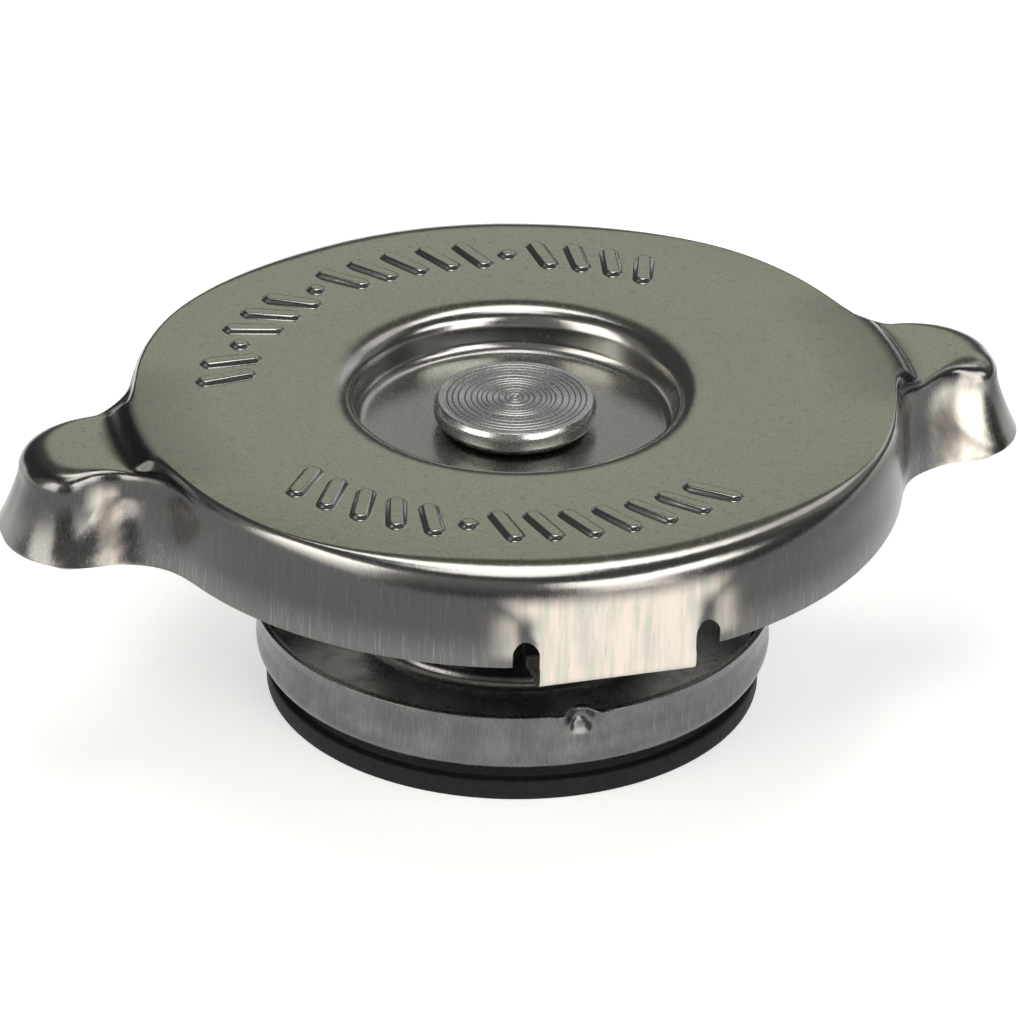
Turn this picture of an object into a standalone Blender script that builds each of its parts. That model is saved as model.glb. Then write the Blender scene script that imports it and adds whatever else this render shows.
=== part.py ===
"""Full-size pressure radiator cap: a stamped two-eared cover riveted to a spring-loaded valve.

Metres, +Z up. The cap stands on the flat face of its lower gasket at Z = 0, with the two ears
along X and the two bayonet lugs along Y. The driving sizes below are in millimetres.
"""

import math

import bmesh
import bpy

MM = 0.001
GAP = 0.3

# Cover: heights are measured down from the flat top, radii out from the axis.
TOP_Z = 27.3
COVER_SHEET = 0.8
BODY_R = 32.5
WALL_R = 32.15
SKIRT_DROP = 8.1
SHOULDER_DROP = 3.4
FLAT_R_FRONT = 28.9
FLAT_R_EAR = 31.1
FLAT_BLEND_FROM = 34.0
FLAT_BLEND_TO = 74.0
WALL_DRAFT = 0.04
RIVET_HOLE_R = 3.6
RECESS_DROP = 3.6
RECESS_FLOOR_R = 12.4
RECESS_FOOT_R = 0.9
RECESS_FOOT_RISE = 0.45
RECESS_RIM_R = 15.5
RECESS_ROUND_R = 1.35
RECESS_ROUND_DROP = 0.95

# Ears: a rounded tongue each side, one outline where its wall starts and a wider one at the skirt.
EAR_DROP = 1.2
EAR_FOOT = 1.9
EAR_ROUND = 1.5
EAR_TIP_TOP = 41.4
EAR_TIP_LOW = 43.2
EAR_HALF_TOP = 5.7
EAR_HALF_LOW = 7.6
EAR_CORNER_TOP = 5.0
EAR_CORNER_LOW = 6.8
EAR_FILLET = 5.0
EAR_BLEND_FROM = 10.0
EAR_BLEND_TO = 17.0
DENT_X = 36.9
DENT_HALF = 4.3
DENT_DEPTH = 1.9
DENT_START = 1.1
DENT_FOOT_SHARE = 0.2

# Bayonet tabs: a flat panel between two slots, bent inward below the skirt as the lug.
TAB_FLAT_Y = 31.6
TAB_HALF = 6.4
TAB_DROP = 10.2
TAB_BEND = 1.0
LUG_END_Y = 27.2
SLOT_WIDTH = 2.1
SLOT_DROP = 6.0

# Rivet through the cover, the friction disc, the spacer and the bell.
RIVET_HEAD_R = 6.7
RIVET_HEAD_Z = TOP_Z - 1.1
RIVET_SHANK_R = 3.0
RIVET_TAIL_R = 4.8
RIVET_TAIL_HEIGHT = 1.2
DISC_R = 26.0
DISC_SHEET = 0.4
DISC_DROOP = 0.9
SPACER_R = 7.0
SPACER_HEIGHT = 0.8
WASHER_R = 6.2
WASHER_HEIGHT = 0.6

# Bell and the valve cup that hangs on its flange by three stakes.
BELL_SHEET = 0.5
BELL_R = 12.8
BELL_CORNER = 2.6
BELL_FILLET = 1.3
BELL_FLANGE_R = 20.3
BELL_FLANGE_Z = 6.1
CUP_SHEET = 0.5
CUP_BOTTOM_Z = 2.9
CUP_RIM_Z = 8.1
CUP_RIM_R = 21.9
CUP_WAIST = 0.35
CUP_CORNER = 1.5
CUP_HOLE_R = 7.4
STAKES = 3
STAKE_R = 1.0
STAKE_AT_R = 20.75
STAKE_Z = 7.4

# Lower gasket, the seat that clamps it, and the vacuum valve inside the seat.
GASKET_R = 20.7
GASKET_WALL = 1.75
GASKET_TOP_Z = CUP_BOTTOM_Z - GAP
GASKET_RECESS_R = 13.0
GASKET_RECESS_Z = 1.6
SEAT_R = 6.9
SEAT_BRIM_R = 11.6
SEAT_BRIM_Z = 0.9
SEAT_CROWN_Z = 4.3
SEAT_SHEET = 0.45
VACUUM_DISC_R = 5.8
VACUUM_DISC_Z = 2.2
VACUUM_DISC_SHEET = 0.5
VACUUM_KNOB_R = 1.9
VACUUM_BOSS = 0.35
VACUUM_STEM_R = 1.2
VACUUM_STEM_Z = 10.6
KEEPER_R = 4.2
KEEPER_Z = 9.4
KEEPER_SHEET = 0.5

# Coil springs.
MAIN_WIRE_R = 0.9
MAIN_COIL_R = 10.3
MAIN_TURNS = 5.0
VACUUM_WIRE_R = 0.25
VACUUM_COIL_R = 3.3
VACUUM_TURNS = 5.0
CLOSED_TURN = 0.85
CLOSED_RISE = 2.24


def clear_scene():
    for obj in list(bpy.data.objects):
        bpy.data.objects.remove(obj, do_unlink=True)


def collection(name, helper=False):
    made = bpy.data.collections.new(name)
    bpy.context.scene.collection.children.link(made)
    made.hide_render = helper
    return made


def material(name, colour, metallic, roughness):
    made = bpy.data.materials.new(name)
    made.use_nodes = True
    shader = made.node_tree.nodes["Principled BSDF"]
    shader.inputs["Base Color"].default_value = (*colour, 1.0)
    shader.inputs["Metallic"].default_value = metallic
    shader.inputs["Roughness"].default_value = roughness
    made.diffuse_color = (*colour, 1.0)
    return made


def mesh_object(name, points, faces, home, look=None, edges=()):
    data = bpy.data.meshes.new(name)
    data.from_pydata([tuple(value * MM for value in point) for point in points], edges, faces)
    data.update()
    obj = bpy.data.objects.new(name, data)
    home.objects.link(obj)
    if look:
        data.materials.append(look)
    return obj


def smoothstep(low, high, value):
    share = min(1.0, max(0.0, (value - low) / (high - low)))
    return share * share * (3.0 - 2.0 * share)


def mixed(first, second, share):
    return first + (second - first) * share


# Turned pieces

def turned(name, profile, home, look, steps=36, closed=True):
    """Spins (radius, height) points about Z. The profile runs down its outer side."""
    count = len(profile)
    edges = [(i, i + 1) for i in range(count - 1)]
    if closed:
        edges.append((count - 1, 0))
    obj = mesh_object(name, [(radius, 0.0, height) for radius, height in profile], [], home, look, edges)
    spin = obj.modifiers.new("Spin", "SCREW")
    spin.steps = spin.render_steps = steps
    spin.use_merge_vertices = True
    spin.merge_threshold = 0.00001
    spin.use_smooth_shade = False
    return obj


def turned_sheet(name, profile, sheet, home, look, steps=40):
    """Spins an open profile and thickens it inward from its outer side."""
    obj = turned(name, profile, home, look, steps, closed=False)
    wall = obj.modifiers.new("Sheet", "SOLIDIFY")
    wall.thickness = sheet * MM
    wall.offset = -1.0
    wall.use_even_offset = True
    return obj


def arc(centre_r, centre_z, radius, start, end, count):
    """Points of an arc in the profile's plane, angles in degrees from +R towards +Z."""
    found = []
    for i in range(count + 1):
        angle = math.radians(mixed(start, end, i / count))
        found.append((centre_r + radius * math.cos(angle), centre_z + radius * math.sin(angle)))
    return found


def washer_profile(inner, outer, low, high, edge=0.0):
    if not edge:
        return [(inner, high), (outer, high), (outer, low), (inner, low)]
    return [
        (inner, high),
        (outer - edge, high),
        (outer, high - edge),
        (outer, low + edge),
        (outer - edge, low),
        (inner, low),
    ]


# Cover

def ear_outline(angle, half_width, corner, tip, body):
    """Radius of a disc joined to a rounded tongue, along a spoke at this angle from the ear's axis."""
    cos_a, sin_a = math.cos(angle), abs(math.sin(angle))

    def outside(radius):
        disc = radius - body
        qx = radius * cos_a - tip + corner
        qy = radius * sin_a - half_width + corner
        tongue = math.hypot(max(qx, 0.0), max(qy, 0.0)) + min(max(qx, qy), 0.0) - corner
        near = max(EAR_FILLET - abs(disc - tongue), 0.0) / EAR_FILLET
        return min(disc, tongue) - near * near * EAR_FILLET / 4.0

    low, high = body - 4.0, tip + 4.0
    for _ in range(40):
        middle = (low + high) / 2.0
        if outside(middle) < 0.0:
            low = middle
        else:
            high = middle
    return (low + high) / 2.0


def spoke_angles():
    """Angles of the cover's spokes for one quarter, close together round the ear and at the tab."""
    ear = [0.0, 2.8, 5.2, 7.2, 8.4, 9.4, 10.4, 11.6, 13.0, 14.8, 17.2, 20.5, 25.5]
    plain = [32.0, 39.5, 47.0, 54.5, 61.5, 68.0, 73.5]
    inside_slot = TAB_HALF + SLOT_WIDTH / 4.0
    return ear + plain + [math.degrees(math.atan2(TAB_FLAT_Y, inside_slot))]


def all_spokes():
    quarter = spoke_angles()
    right = quarter + [90.0]
    half = right + [180.0 - angle for angle in reversed(quarter)]
    return half + [360.0 - angle for angle in reversed(half[1:-1])]


def recess_rows():
    """The section from the rivet hole over the recess's floor and wall to its rounded rim."""
    return [
        (RIVET_HOLE_R, -RECESS_DROP),
        (RECESS_FLOOR_R, -RECESS_DROP),
        (RECESS_FLOOR_R + RECESS_FOOT_R, -RECESS_DROP + RECESS_FOOT_RISE),
        (RECESS_RIM_R - RECESS_ROUND_R, -RECESS_ROUND_DROP),
        (RECESS_RIM_R - RECESS_ROUND_R * 0.55, -RECESS_ROUND_DROP * 0.3),
        (RECESS_RIM_R, 0.0),
    ]


def ear_rows(flat_r, top_edge, low_edge):
    """The section of an ear: a step down from the flat top, a flat, a rounded edge and a flaring wall."""
    span = top_edge - flat_r
    foot = min(EAR_FOOT, 0.5 * span)
    turn = min(EAR_ROUND, 0.42 * span)
    rows = []
    for share in (0.3, 0.55, 0.8, 1.0):
        rows.append((flat_r + foot * share, -EAR_DROP * smoothstep(0.0, 1.0, share)))
    for bend in (0.0, 37.0, 90.0):
        turn_angle = math.radians(bend)
        rows.append((
            top_edge - turn * (1.0 - math.sin(turn_angle)),
            -EAR_DROP - EAR_ROUND * (1.0 - math.cos(turn_angle)),
        ))
    for share in (0.43, 0.83, 1.0):
        rows.append((
            mixed(top_edge, low_edge, share ** 1.3),
            -mixed(EAR_DROP + EAR_ROUND, SKIRT_DROP, share),
        ))
    return rows


def plain_rows(flat_r):
    """The section between the ears: a rounded shoulder and a wall with a little draft."""
    rows = []
    for step in (1, 2, 3, 4):
        turn_angle = math.radians(step * 22.5)
        rows.append((
            mixed(flat_r, WALL_R, math.sin(turn_angle)),
            -SHOULDER_DROP * (1.0 - math.cos(turn_angle)),
        ))
    for share in (0.1, 0.2, 0.34, 0.55, 0.83):
        down = share * (SKIRT_DROP - SHOULDER_DROP)
        rows.append((WALL_R + WALL_DRAFT * down, -SHOULDER_DROP - down))
    return rows + [(BODY_R, -SKIRT_DROP)]


def cover_spoke(angle_degrees):
    """The outer surface along one spoke, from the rivet hole out and down to the skirt's edge."""
    folded = angle_degrees % 180.0
    from_ear = min(folded, 180.0 - folded)
    angle = math.radians(from_ear)
    top_edge = ear_outline(angle, EAR_HALF_TOP, EAR_CORNER_TOP, EAR_TIP_TOP, WALL_R - 0.2)
    low_edge = ear_outline(angle, EAR_HALF_LOW, EAR_CORNER_LOW, EAR_TIP_LOW, BODY_R)
    flat_r = mixed(FLAT_R_EAR, FLAT_R_FRONT, smoothstep(FLAT_BLEND_FROM, FLAT_BLEND_TO, from_ear))
    ear_share = 1.0 - smoothstep(EAR_BLEND_FROM, EAR_BLEND_TO, from_ear)

    rows = recess_rows() + [(flat_r, 0.0)]
    for (ear_r, ear_z), (plain_r, plain_z) in zip(ear_rows(flat_r, top_edge, low_edge), plain_rows(flat_r)):
        rows.append((mixed(plain_r, ear_r, ear_share), mixed(plain_z, ear_z, ear_share)))
    turn_by = math.radians(angle_degrees)
    return [(r * math.cos(turn_by), r * math.sin(turn_by), z) for r, z in rows]


def pressed(point):
    """Adds the finger dents in the front sides of the ears and the flat panels of the two tabs."""
    x, y, z = point
    reach = abs(abs(x) - DENT_X) / DENT_HALF
    if reach < 1.0 and y < 0.0 and z < -EAR_DROP:
        across = 1.0 - smoothstep(0.22, 1.0, reach)
        start = smoothstep(EAR_DROP, EAR_DROP + DENT_START, -z)
        below = max(0.0, -z - EAR_DROP - DENT_START) / (SKIRT_DROP - EAR_DROP - DENT_START)
        y += DENT_DEPTH * across * start * mixed(1.0, DENT_FOOT_SHARE, below)
    if abs(y) > TAB_FLAT_Y and z < -SHOULDER_DROP:
        y = math.copysign(TAB_FLAT_Y, y)
    return x, y, z


def cover_mesh():
    """Vertices and faces of the cover's outer skin, the lugs included."""
    spokes = [[pressed(point) for point in cover_spoke(angle)] for angle in all_spokes()]
    rows = len(spokes[0])
    points = [point for spoke in spokes for point in spoke]
    faces = []
    for i in range(len(spokes)):
        j = (i + 1) % len(spokes)
        for k in range(rows - 1):
            faces.append((i * rows + k, i * rows + k + 1, j * rows + k + 1, j * rows + k))
    for sign in (-1.0, 1.0):
        columns = [
            i for i, spoke in enumerate(spokes)
            if abs(spoke[-1][0]) < TAB_HALF + 0.7 and spoke[-1][1] * sign > 0.0
        ]
        add_lug(points, faces, rows, columns, sign)
    return [(x, y, z + TOP_Z) for x, y, z in points], faces


def add_lug(points, faces, rows, columns, sign):
    """Carries the skirt's edge down the tab and inward as the lug, over these spokes."""
    path = [(TAB_FLAT_Y, -TAB_DROP + TAB_BEND)]
    for step in (1, 2, 3):
        turn_angle = math.radians(step * 30.0)
        path.append((
            TAB_FLAT_Y - TAB_BEND * (1.0 - math.cos(turn_angle)),
            -TAB_DROP + TAB_BEND * (1.0 - math.sin(turn_angle)),
        ))
    path.append((LUG_END_Y, -TAB_DROP))
    strips = []
    for column in columns:
        edge = column * rows + rows - 1
        strip = [edge]
        for y, z in path:
            points.append((points[edge][0], sign * y, z))
            strip.append(len(points) - 1)
        strips.append(strip)
    for first, second in zip(strips, strips[1:]):
        for k in range(len(first) - 1):
            faces.append((first[k], first[k + 1], second[k + 1], second[k]))


def slot_points(x_from, x_to, y_near, y_far):
    """A round-topped slot prism that also trims the side of the tab and its lug."""
    radius = (x_to - x_from) / 2.0
    centre = (x_to + x_from) / 2.0
    top = TOP_Z - SLOT_DROP
    outline = [(x_to, top - 9.0), (x_to, top - radius)]
    for step in range(1, 6):
        turn_angle = math.radians(step * 30.0)
        outline.append((centre + radius * math.cos(turn_angle), top - radius + radius * math.sin(turn_angle)))
    outline += [(x_from, top - radius), (x_from, top - 9.0)]
    return [(x, y_near, z) for x, z in outline] + [(x, y_far, z) for x, z in outline]


def slot_cutter(home):
    points, faces = [], []
    for sign_x in (-1.0, 1.0):
        for sign_y in (-1.0, 1.0):
            ends = sorted((sign_x * TAB_HALF, sign_x * (TAB_HALF + SLOT_WIDTH)))
            depth = sorted((sign_y * (BODY_R + 3.0), sign_y * (LUG_END_Y - 3.0)))
            ring = slot_points(ends[0], ends[1], depth[0], depth[1])
            base, count = len(points), len(ring) // 2
            points += ring
            faces.append(tuple(base + i for i in reversed(range(count))))
            faces.append(tuple(base + count + i for i in range(count)))
            for i in range(count):
                j = (i + 1) % count
                faces.append((base + i, base + j, base + count + j, base + count + i))
    obj = mesh_object("slot_cutter", points, faces, home)
    return ready_cutter(obj)


def ready_cutter(obj):
    faces = bmesh.new()
    faces.from_mesh(obj.data)
    bmesh.ops.recalc_face_normals(faces, faces=faces.faces)
    faces.to_mesh(obj.data)
    faces.free()
    obj.hide_render = True
    obj.display_type = "WIRE"
    return obj


def cut(obj, cutter, operation="DIFFERENCE"):
    step = obj.modifiers.new(cutter.name, "BOOLEAN")
    step.operation = operation
    step.solver = "EXACT"
    step.object = cutter
    return step


def make_cover(home, cutters, look):
    points, faces = cover_mesh()
    obj = mesh_object("cover_shell", points, faces, home, look)
    skin = bmesh.new()
    skin.from_mesh(obj.data)
    bmesh.ops.recalc_face_normals(skin, faces=skin.faces)
    highest = max(skin.faces, key=lambda face: face.calc_center_median().z)
    if highest.normal.z < 0.0:
        bmesh.ops.reverse_faces(skin, faces=skin.faces)
    skin.to_mesh(obj.data)
    skin.free()
    wall = obj.modifiers.new("Sheet", "SOLIDIFY")
    wall.thickness = COVER_SHEET * MM
    wall.offset = -1.0
    wall.use_even_offset = True
    cut(obj, slot_cutter(cutters))
    return obj


# Rivet stack

def make_rivet(home, look):
    top, low = RIVET_HEAD_Z, TOP_Z - RECESS_DROP + GAP
    tail_top = rivet_washer_top() - WASHER_HEIGHT - GAP
    tail_low = tail_top - RIVET_TAIL_HEIGHT
    profile = [(0.0, top), (RIVET_HEAD_R - 0.45, top)]
    profile += arc(RIVET_HEAD_R - 0.45, top - 0.45, 0.45, 60.0, 0.0, 2)
    profile += arc(RIVET_HEAD_R - 0.8, low + 0.8, 0.8, 0.0, -90.0, 3)
    profile += [
        (RIVET_SHANK_R, low),
        (RIVET_SHANK_R, tail_top),
        (RIVET_TAIL_R - 0.3, tail_top),
        (RIVET_TAIL_R, tail_top - 0.35),
        (RIVET_TAIL_R - 0.7, tail_low),
        (0.0, tail_low),
    ]
    return turned("center_rivet", profile, home, look, steps=28, closed=False)


def disc_top():
    return TOP_Z - RECESS_DROP - COVER_SHEET - GAP


def disc_low():
    return disc_top() - DISC_SHEET


def make_friction_disc(home, look):
    top = disc_top()
    profile = [
        (RIVET_SHANK_R + 0.6, top),
        (SPACER_R + 1.0, top),
        (DISC_R - 3.0, top - DISC_DROOP),
        (DISC_R, top - DISC_DROOP),
    ]
    return turned_sheet("friction_disc", profile, DISC_SHEET, home, look, steps=42)


def bell_top():
    return disc_low() - GAP - SPACER_HEIGHT - GAP


def rivet_washer_top():
    return bell_top() - BELL_SHEET - GAP


def make_spacer(home, look):
    high = disc_low() - GAP
    profile = washer_profile(RIVET_SHANK_R + GAP, SPACER_R, high - SPACER_HEIGHT, high, 0.15)
    return turned("spacer_washer", profile, home, look, steps=24)


def make_rivet_washer(home, look):
    high = rivet_washer_top()
    profile = washer_profile(RIVET_SHANK_R + GAP, WASHER_R, high - WASHER_HEIGHT, high, 0.12)
    return turned("rivet_washer", profile, home, look, steps=24)


def make_bell(home, look):
    top = bell_top()
    profile = [(RIVET_SHANK_R + 0.5, top)]
    profile += arc(BELL_R - BELL_CORNER, top - BELL_CORNER, BELL_CORNER, 90.0, 0.0, 3)
    profile += arc(BELL_R + BELL_FILLET, BELL_FLANGE_Z + BELL_FILLET, BELL_FILLET, 180.0, 270.0, 2)
    profile += [(BELL_FLANGE_R, BELL_FLANGE_Z)]
    return turned_sheet("bell_housing", profile, BELL_SHEET, home, look, steps=32)


# Valve body

def make_cup(home, cutters, look):
    """Open cup with a flared rim and a rolled lower corner, its wall staked in at three places."""
    low = CUP_BOTTOM_Z
    wall_r = CUP_RIM_R - CUP_WAIST
    profile = [
        (CUP_RIM_R, CUP_RIM_Z),
        (wall_r + 0.05, CUP_RIM_Z - 1.4),
        (wall_r - 0.07, CUP_RIM_Z - 2.7),
        (wall_r, CUP_RIM_Z - 3.3),
    ]
    profile += arc(wall_r - CUP_CORNER, low + CUP_CORNER, CUP_CORNER, -8.0, -90.0, 4)
    profile += [(CUP_HOLE_R, low)]
    obj = turned_sheet("valve_cup", profile, CUP_SHEET, home, look, steps=42)
    nubs = stake_balls("stake_nubs", STAKE_AT_R, STAKE_R, cutters)
    dimples = stake_balls("stake_dimples", STAKE_AT_R + 1.85, STAKE_R * 1.35, cutters)
    cut(obj, nubs, "UNION")
    cut(obj, dimples)
    return obj


def stake_balls(name, at_radius, radius, home):
    """Three low-count balls round the cup's wall, the first at the front."""
    shape = bmesh.new()
    for i in range(STAKES):
        angle = math.radians(-90.0 + 360.0 * i / STAKES)
        made = bmesh.ops.create_icosphere(shape, subdivisions=1, radius=radius * MM)
        move = (at_radius * math.cos(angle) * MM, at_radius * math.sin(angle) * MM, STAKE_Z * MM)
        bmesh.ops.translate(shape, verts=made["verts"], vec=move)
    data = bpy.data.meshes.new(name)
    shape.to_mesh(data)
    shape.free()
    obj = bpy.data.objects.new(name, data)
    home.objects.link(obj)
    obj.hide_render = True
    obj.display_type = "WIRE"
    return obj


def make_gasket(home, look):
    inner = SEAT_R + GAP
    profile = [
        (inner, GASKET_TOP_Z),
        (GASKET_R - 0.9, GASKET_TOP_Z),
        (GASKET_R - 0.9, GASKET_WALL + 0.12),
        (GASKET_R - 0.1, GASKET_WALL),
        (GASKET_R, GASKET_WALL - 0.12),
        (GASKET_R, 0.15),
        (GASKET_R - 0.15, 0.0),
        (GASKET_RECESS_R, 0.0),
        (GASKET_RECESS_R, GASKET_RECESS_Z),
        (inner, GASKET_RECESS_Z),
    ]
    return turned("main_gasket", profile, home, look, steps=42)


def make_seat(home, look):
    """Hat-shaped seat: its brim holds the gasket up and its crown carries the vacuum valve."""
    corner = 0.8
    brim_top = SEAT_BRIM_Z + SEAT_SHEET
    profile = [(VACUUM_STEM_R + 1.2, SEAT_CROWN_Z)]
    profile += arc(SEAT_R - corner, SEAT_CROWN_Z - corner, corner, 90.0, 0.0, 3)
    profile += [(SEAT_R, brim_top), (SEAT_BRIM_R, brim_top)]
    return turned_sheet("valve_seat", profile, SEAT_SHEET, home, look, steps=28)


def make_vacuum_valve(home, look):
    disc_high = VACUUM_DISC_Z + VACUUM_DISC_SHEET
    knob_low = KEEPER_Z + KEEPER_SHEET + GAP
    boss_r = 2.0 * VACUUM_STEM_R
    profile = [
        (0.0, VACUUM_STEM_Z),
        (VACUUM_KNOB_R - 0.4, VACUUM_STEM_Z),
        (VACUUM_KNOB_R, VACUUM_STEM_Z - 0.3),
        (VACUUM_KNOB_R, knob_low),
        (VACUUM_STEM_R, knob_low),
        (VACUUM_STEM_R, disc_high),
        (VACUUM_DISC_R - 0.1, disc_high),
        (VACUUM_DISC_R, disc_high - 0.1),
        (VACUUM_DISC_R, VACUUM_DISC_Z + 0.1),
        (VACUUM_DISC_R - 0.1, VACUUM_DISC_Z),
        (boss_r, VACUUM_DISC_Z),
        (boss_r - 0.5, VACUUM_DISC_Z - VACUUM_BOSS),
        (0.0, VACUUM_DISC_Z - VACUUM_BOSS),
    ]
    return turned("vacuum_valve", profile, home, look, steps=20, closed=False)


def make_vacuum_seal(home, look):
    low = VACUUM_DISC_Z + VACUUM_DISC_SHEET + GAP
    high = SEAT_CROWN_Z - SEAT_SHEET - GAP
    profile = washer_profile(VACUUM_STEM_R + GAP, VACUUM_DISC_R - 0.4, low, high)
    return turned("vacuum_seal", profile, home, look, steps=20)


def make_keeper(home, look):
    profile = washer_profile(VACUUM_STEM_R + GAP, KEEPER_R, KEEPER_Z, KEEPER_Z + KEEPER_SHEET, 0.12)
    return turned("spring_keeper", profile, home, look, steps=20)


# Springs

def coil(name, coil_r, wire_r, low, high, turns, home, look, per_turn=14):
    """Compression spring with a flat turn at each end, as a capped tube along a helix."""
    count = int(turns * per_turn)
    seat = wire_r * CLOSED_RISE
    free = high - low - 2.0 * wire_r - 2.0 * seat
    points = []
    for i in range(count + 1):
        angle = 2.0 * math.pi * i / per_turn
        turn = i / per_turn
        rise = min(1.0, max(0.0, (turn - CLOSED_TURN) / (turns - 2.0 * CLOSED_TURN)))
        lead = min(1.0, turn / CLOSED_TURN)
        trail = max(0.0, 1.0 - (turns - turn) / CLOSED_TURN)
        height = low + wire_r + (lead + trail) * seat + rise * free
        points.append((coil_r * math.cos(angle), coil_r * math.sin(angle), height))
    data = bpy.data.curves.new(name, "CURVE")
    data.dimensions = "3D"
    data.bevel_depth = wire_r * MM
    data.bevel_resolution = 1
    data.use_fill_caps = True
    line = data.splines.new("POLY")
    line.points.add(len(points) - 1)
    for point, (x, y, z) in zip(line.points, points):
        point.co = (x * MM, y * MM, z * MM, 1.0)
    data.materials.append(look)
    obj = bpy.data.objects.new(name, data)
    home.objects.link(obj)
    return obj


def main():
    clear_scene()
    cap = collection("radiator_cap")
    cutters = collection("cutters", helper=True)
    tinned = material("tinned_steel", (0.60, 0.59, 0.53), 1.0, 0.28)
    rivet_steel = material("zinc_plated_rivet", (0.66, 0.67, 0.68), 1.0, 0.24)
    plated = material("plated_steel", (0.55, 0.56, 0.56), 1.0, 0.34)
    dark_steel = material("dark_plated_steel", (0.20, 0.20, 0.19), 1.0, 0.30)
    spring_steel = material("spring_steel", (0.42, 0.42, 0.43), 1.0, 0.32)
    disc_steel = material("friction_disc_steel", (0.62, 0.62, 0.60), 1.0, 0.26)
    brass = material("brass", (0.78, 0.60, 0.30), 1.0, 0.30)
    rubber = material("black_rubber", (0.025, 0.025, 0.027), 0.0, 0.62)

    make_cover(cap, cutters, tinned)
    make_rivet(cap, rivet_steel)
    make_friction_disc(cap, disc_steel)
    make_spacer(cap, plated)
    make_bell(cap, dark_steel)
    make_rivet_washer(cap, plated)
    make_cup(cap, cutters, plated)
    make_gasket(cap, rubber)
    make_seat(cap, disc_steel)
    make_vacuum_valve(cap, brass)
    make_vacuum_seal(cap, rubber)
    make_keeper(cap, brass)
    main_low = CUP_BOTTOM_Z + CUP_SHEET + GAP
    main_high = rivet_washer_top()
    coil("main_spring", MAIN_COIL_R, MAIN_WIRE_R, main_low, main_high, MAIN_TURNS, cap, spring_steel)
    vacuum_low = SEAT_CROWN_Z + GAP
    vacuum_high = KEEPER_Z - GAP
    coil(
        "vacuum_spring", VACUUM_COIL_R, VACUUM_WIRE_R, vacuum_low, vacuum_high,
        VACUUM_TURNS, cap, spring_steel, per_turn=10,
    )


if __name__ == "__main__":
    main()
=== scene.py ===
"""Looks of a radiator pressure cap: fine meshes and finishes over its plain solids.

Sizes in the classes are millimetres, and the meshes are metres, +Z up. The ears lie along X
and the two bayonet tabs along Y, and the lower gasket's flat face stands on the floor.
"""

import logging
import math
from collections.abc import Sequence
from dataclasses import dataclass
from enum import Enum

import bmesh
import bpy
from mathutils import Matrix, Vector


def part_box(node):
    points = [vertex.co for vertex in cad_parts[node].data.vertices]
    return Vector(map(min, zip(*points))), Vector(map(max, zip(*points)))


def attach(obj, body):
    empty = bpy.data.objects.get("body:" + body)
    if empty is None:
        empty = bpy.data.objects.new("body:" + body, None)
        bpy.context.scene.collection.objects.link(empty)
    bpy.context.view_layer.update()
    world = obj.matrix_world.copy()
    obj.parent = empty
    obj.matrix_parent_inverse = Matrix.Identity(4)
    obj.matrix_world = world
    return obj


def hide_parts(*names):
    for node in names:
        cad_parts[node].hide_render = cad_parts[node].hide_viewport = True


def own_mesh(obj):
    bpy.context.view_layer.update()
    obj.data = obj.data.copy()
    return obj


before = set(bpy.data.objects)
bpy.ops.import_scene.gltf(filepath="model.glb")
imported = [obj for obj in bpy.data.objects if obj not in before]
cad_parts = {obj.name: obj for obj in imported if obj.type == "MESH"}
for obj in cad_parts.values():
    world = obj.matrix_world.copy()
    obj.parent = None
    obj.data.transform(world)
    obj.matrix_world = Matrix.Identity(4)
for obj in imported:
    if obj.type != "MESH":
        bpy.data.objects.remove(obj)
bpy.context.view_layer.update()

MM = 0.001
LOG = logging.getLogger("pressure_cap")

Section = list[tuple[float, float]]
Colour = tuple[float, float, float]
Scale = tuple[float, float, float]
Point = tuple[float, float, float]
Socket = bpy.types.NodeSocket


class Body(Enum):
    """The four bodies that move on their own."""

    VALVE = "valve_body"
    BELL = "bell"
    COVER = "cover"
    VACUUM = "vacuum"


class Slot(Enum):
    """Names for the solids' finishes."""

    TIN = "tinned_steel"
    RIVET = "zinc_plated_rivet"
    PLATE = "plated_steel"
    DARK = "dark_plated_steel"
    WIRE = "spring_steel"
    BRIGHT = "friction_disc_steel"
    BRASS = "brass"
    RUBBER = "black_rubber"


def mixed(first: float, second: float, share: float) -> float:
    """A value between two, by its share of the way."""
    return first + (second - first) * share


def smoothstep(low: float, high: float, value: float) -> float:
    """Rises smoothly from 0 at low to 1 at high."""
    share = min(1.0, max(0.0, (value - low) / (high - low)))
    return share * share * (3.0 - 2.0 * share)


def falling(low: float, high: float, value: float) -> float:
    """Falls smoothly from 1 at low to 0 at high."""
    return 1.0 - smoothstep(low, high, value)


@dataclass(frozen=True)
class Span:
    """A stretch of values over which something sets in or fades."""

    low: float
    high: float

    def sets_in(self, value: float) -> float:
        """Rises from 0 to 1 over the stretch."""
        return smoothstep(self.low, self.high, value)

    def fades(self, value: float) -> float:
        """Falls from 1 to 0 over the stretch."""
        return falling(self.low, self.high, value)


def bend_share(slope: float) -> float:
    """How much a place with this upward share of its normal counts as bent, 0 on the flat."""
    return falling(0.955, 0.992, slope)


def top_of(node: str) -> float:
    """Height of a solid's highest point, in millimetres."""
    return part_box(node)[1].z / MM


def foot_of(node: str) -> float:
    """Height of a solid's lowest point, in millimetres."""
    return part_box(node)[0].z / MM


def reach_of(node: str) -> float:
    """Half a solid's width along Y, in millimetres, which is a round piece's radius."""
    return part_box(node)[1].y / MM


# Sections


@dataclass(frozen=True)
class Corner:
    """A corner of a turned section, with the radius that rounds it or the two legs that ease it."""

    r: float
    z: float
    fillet: float = 0.0
    legs: tuple[float, float] | None = None


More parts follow.
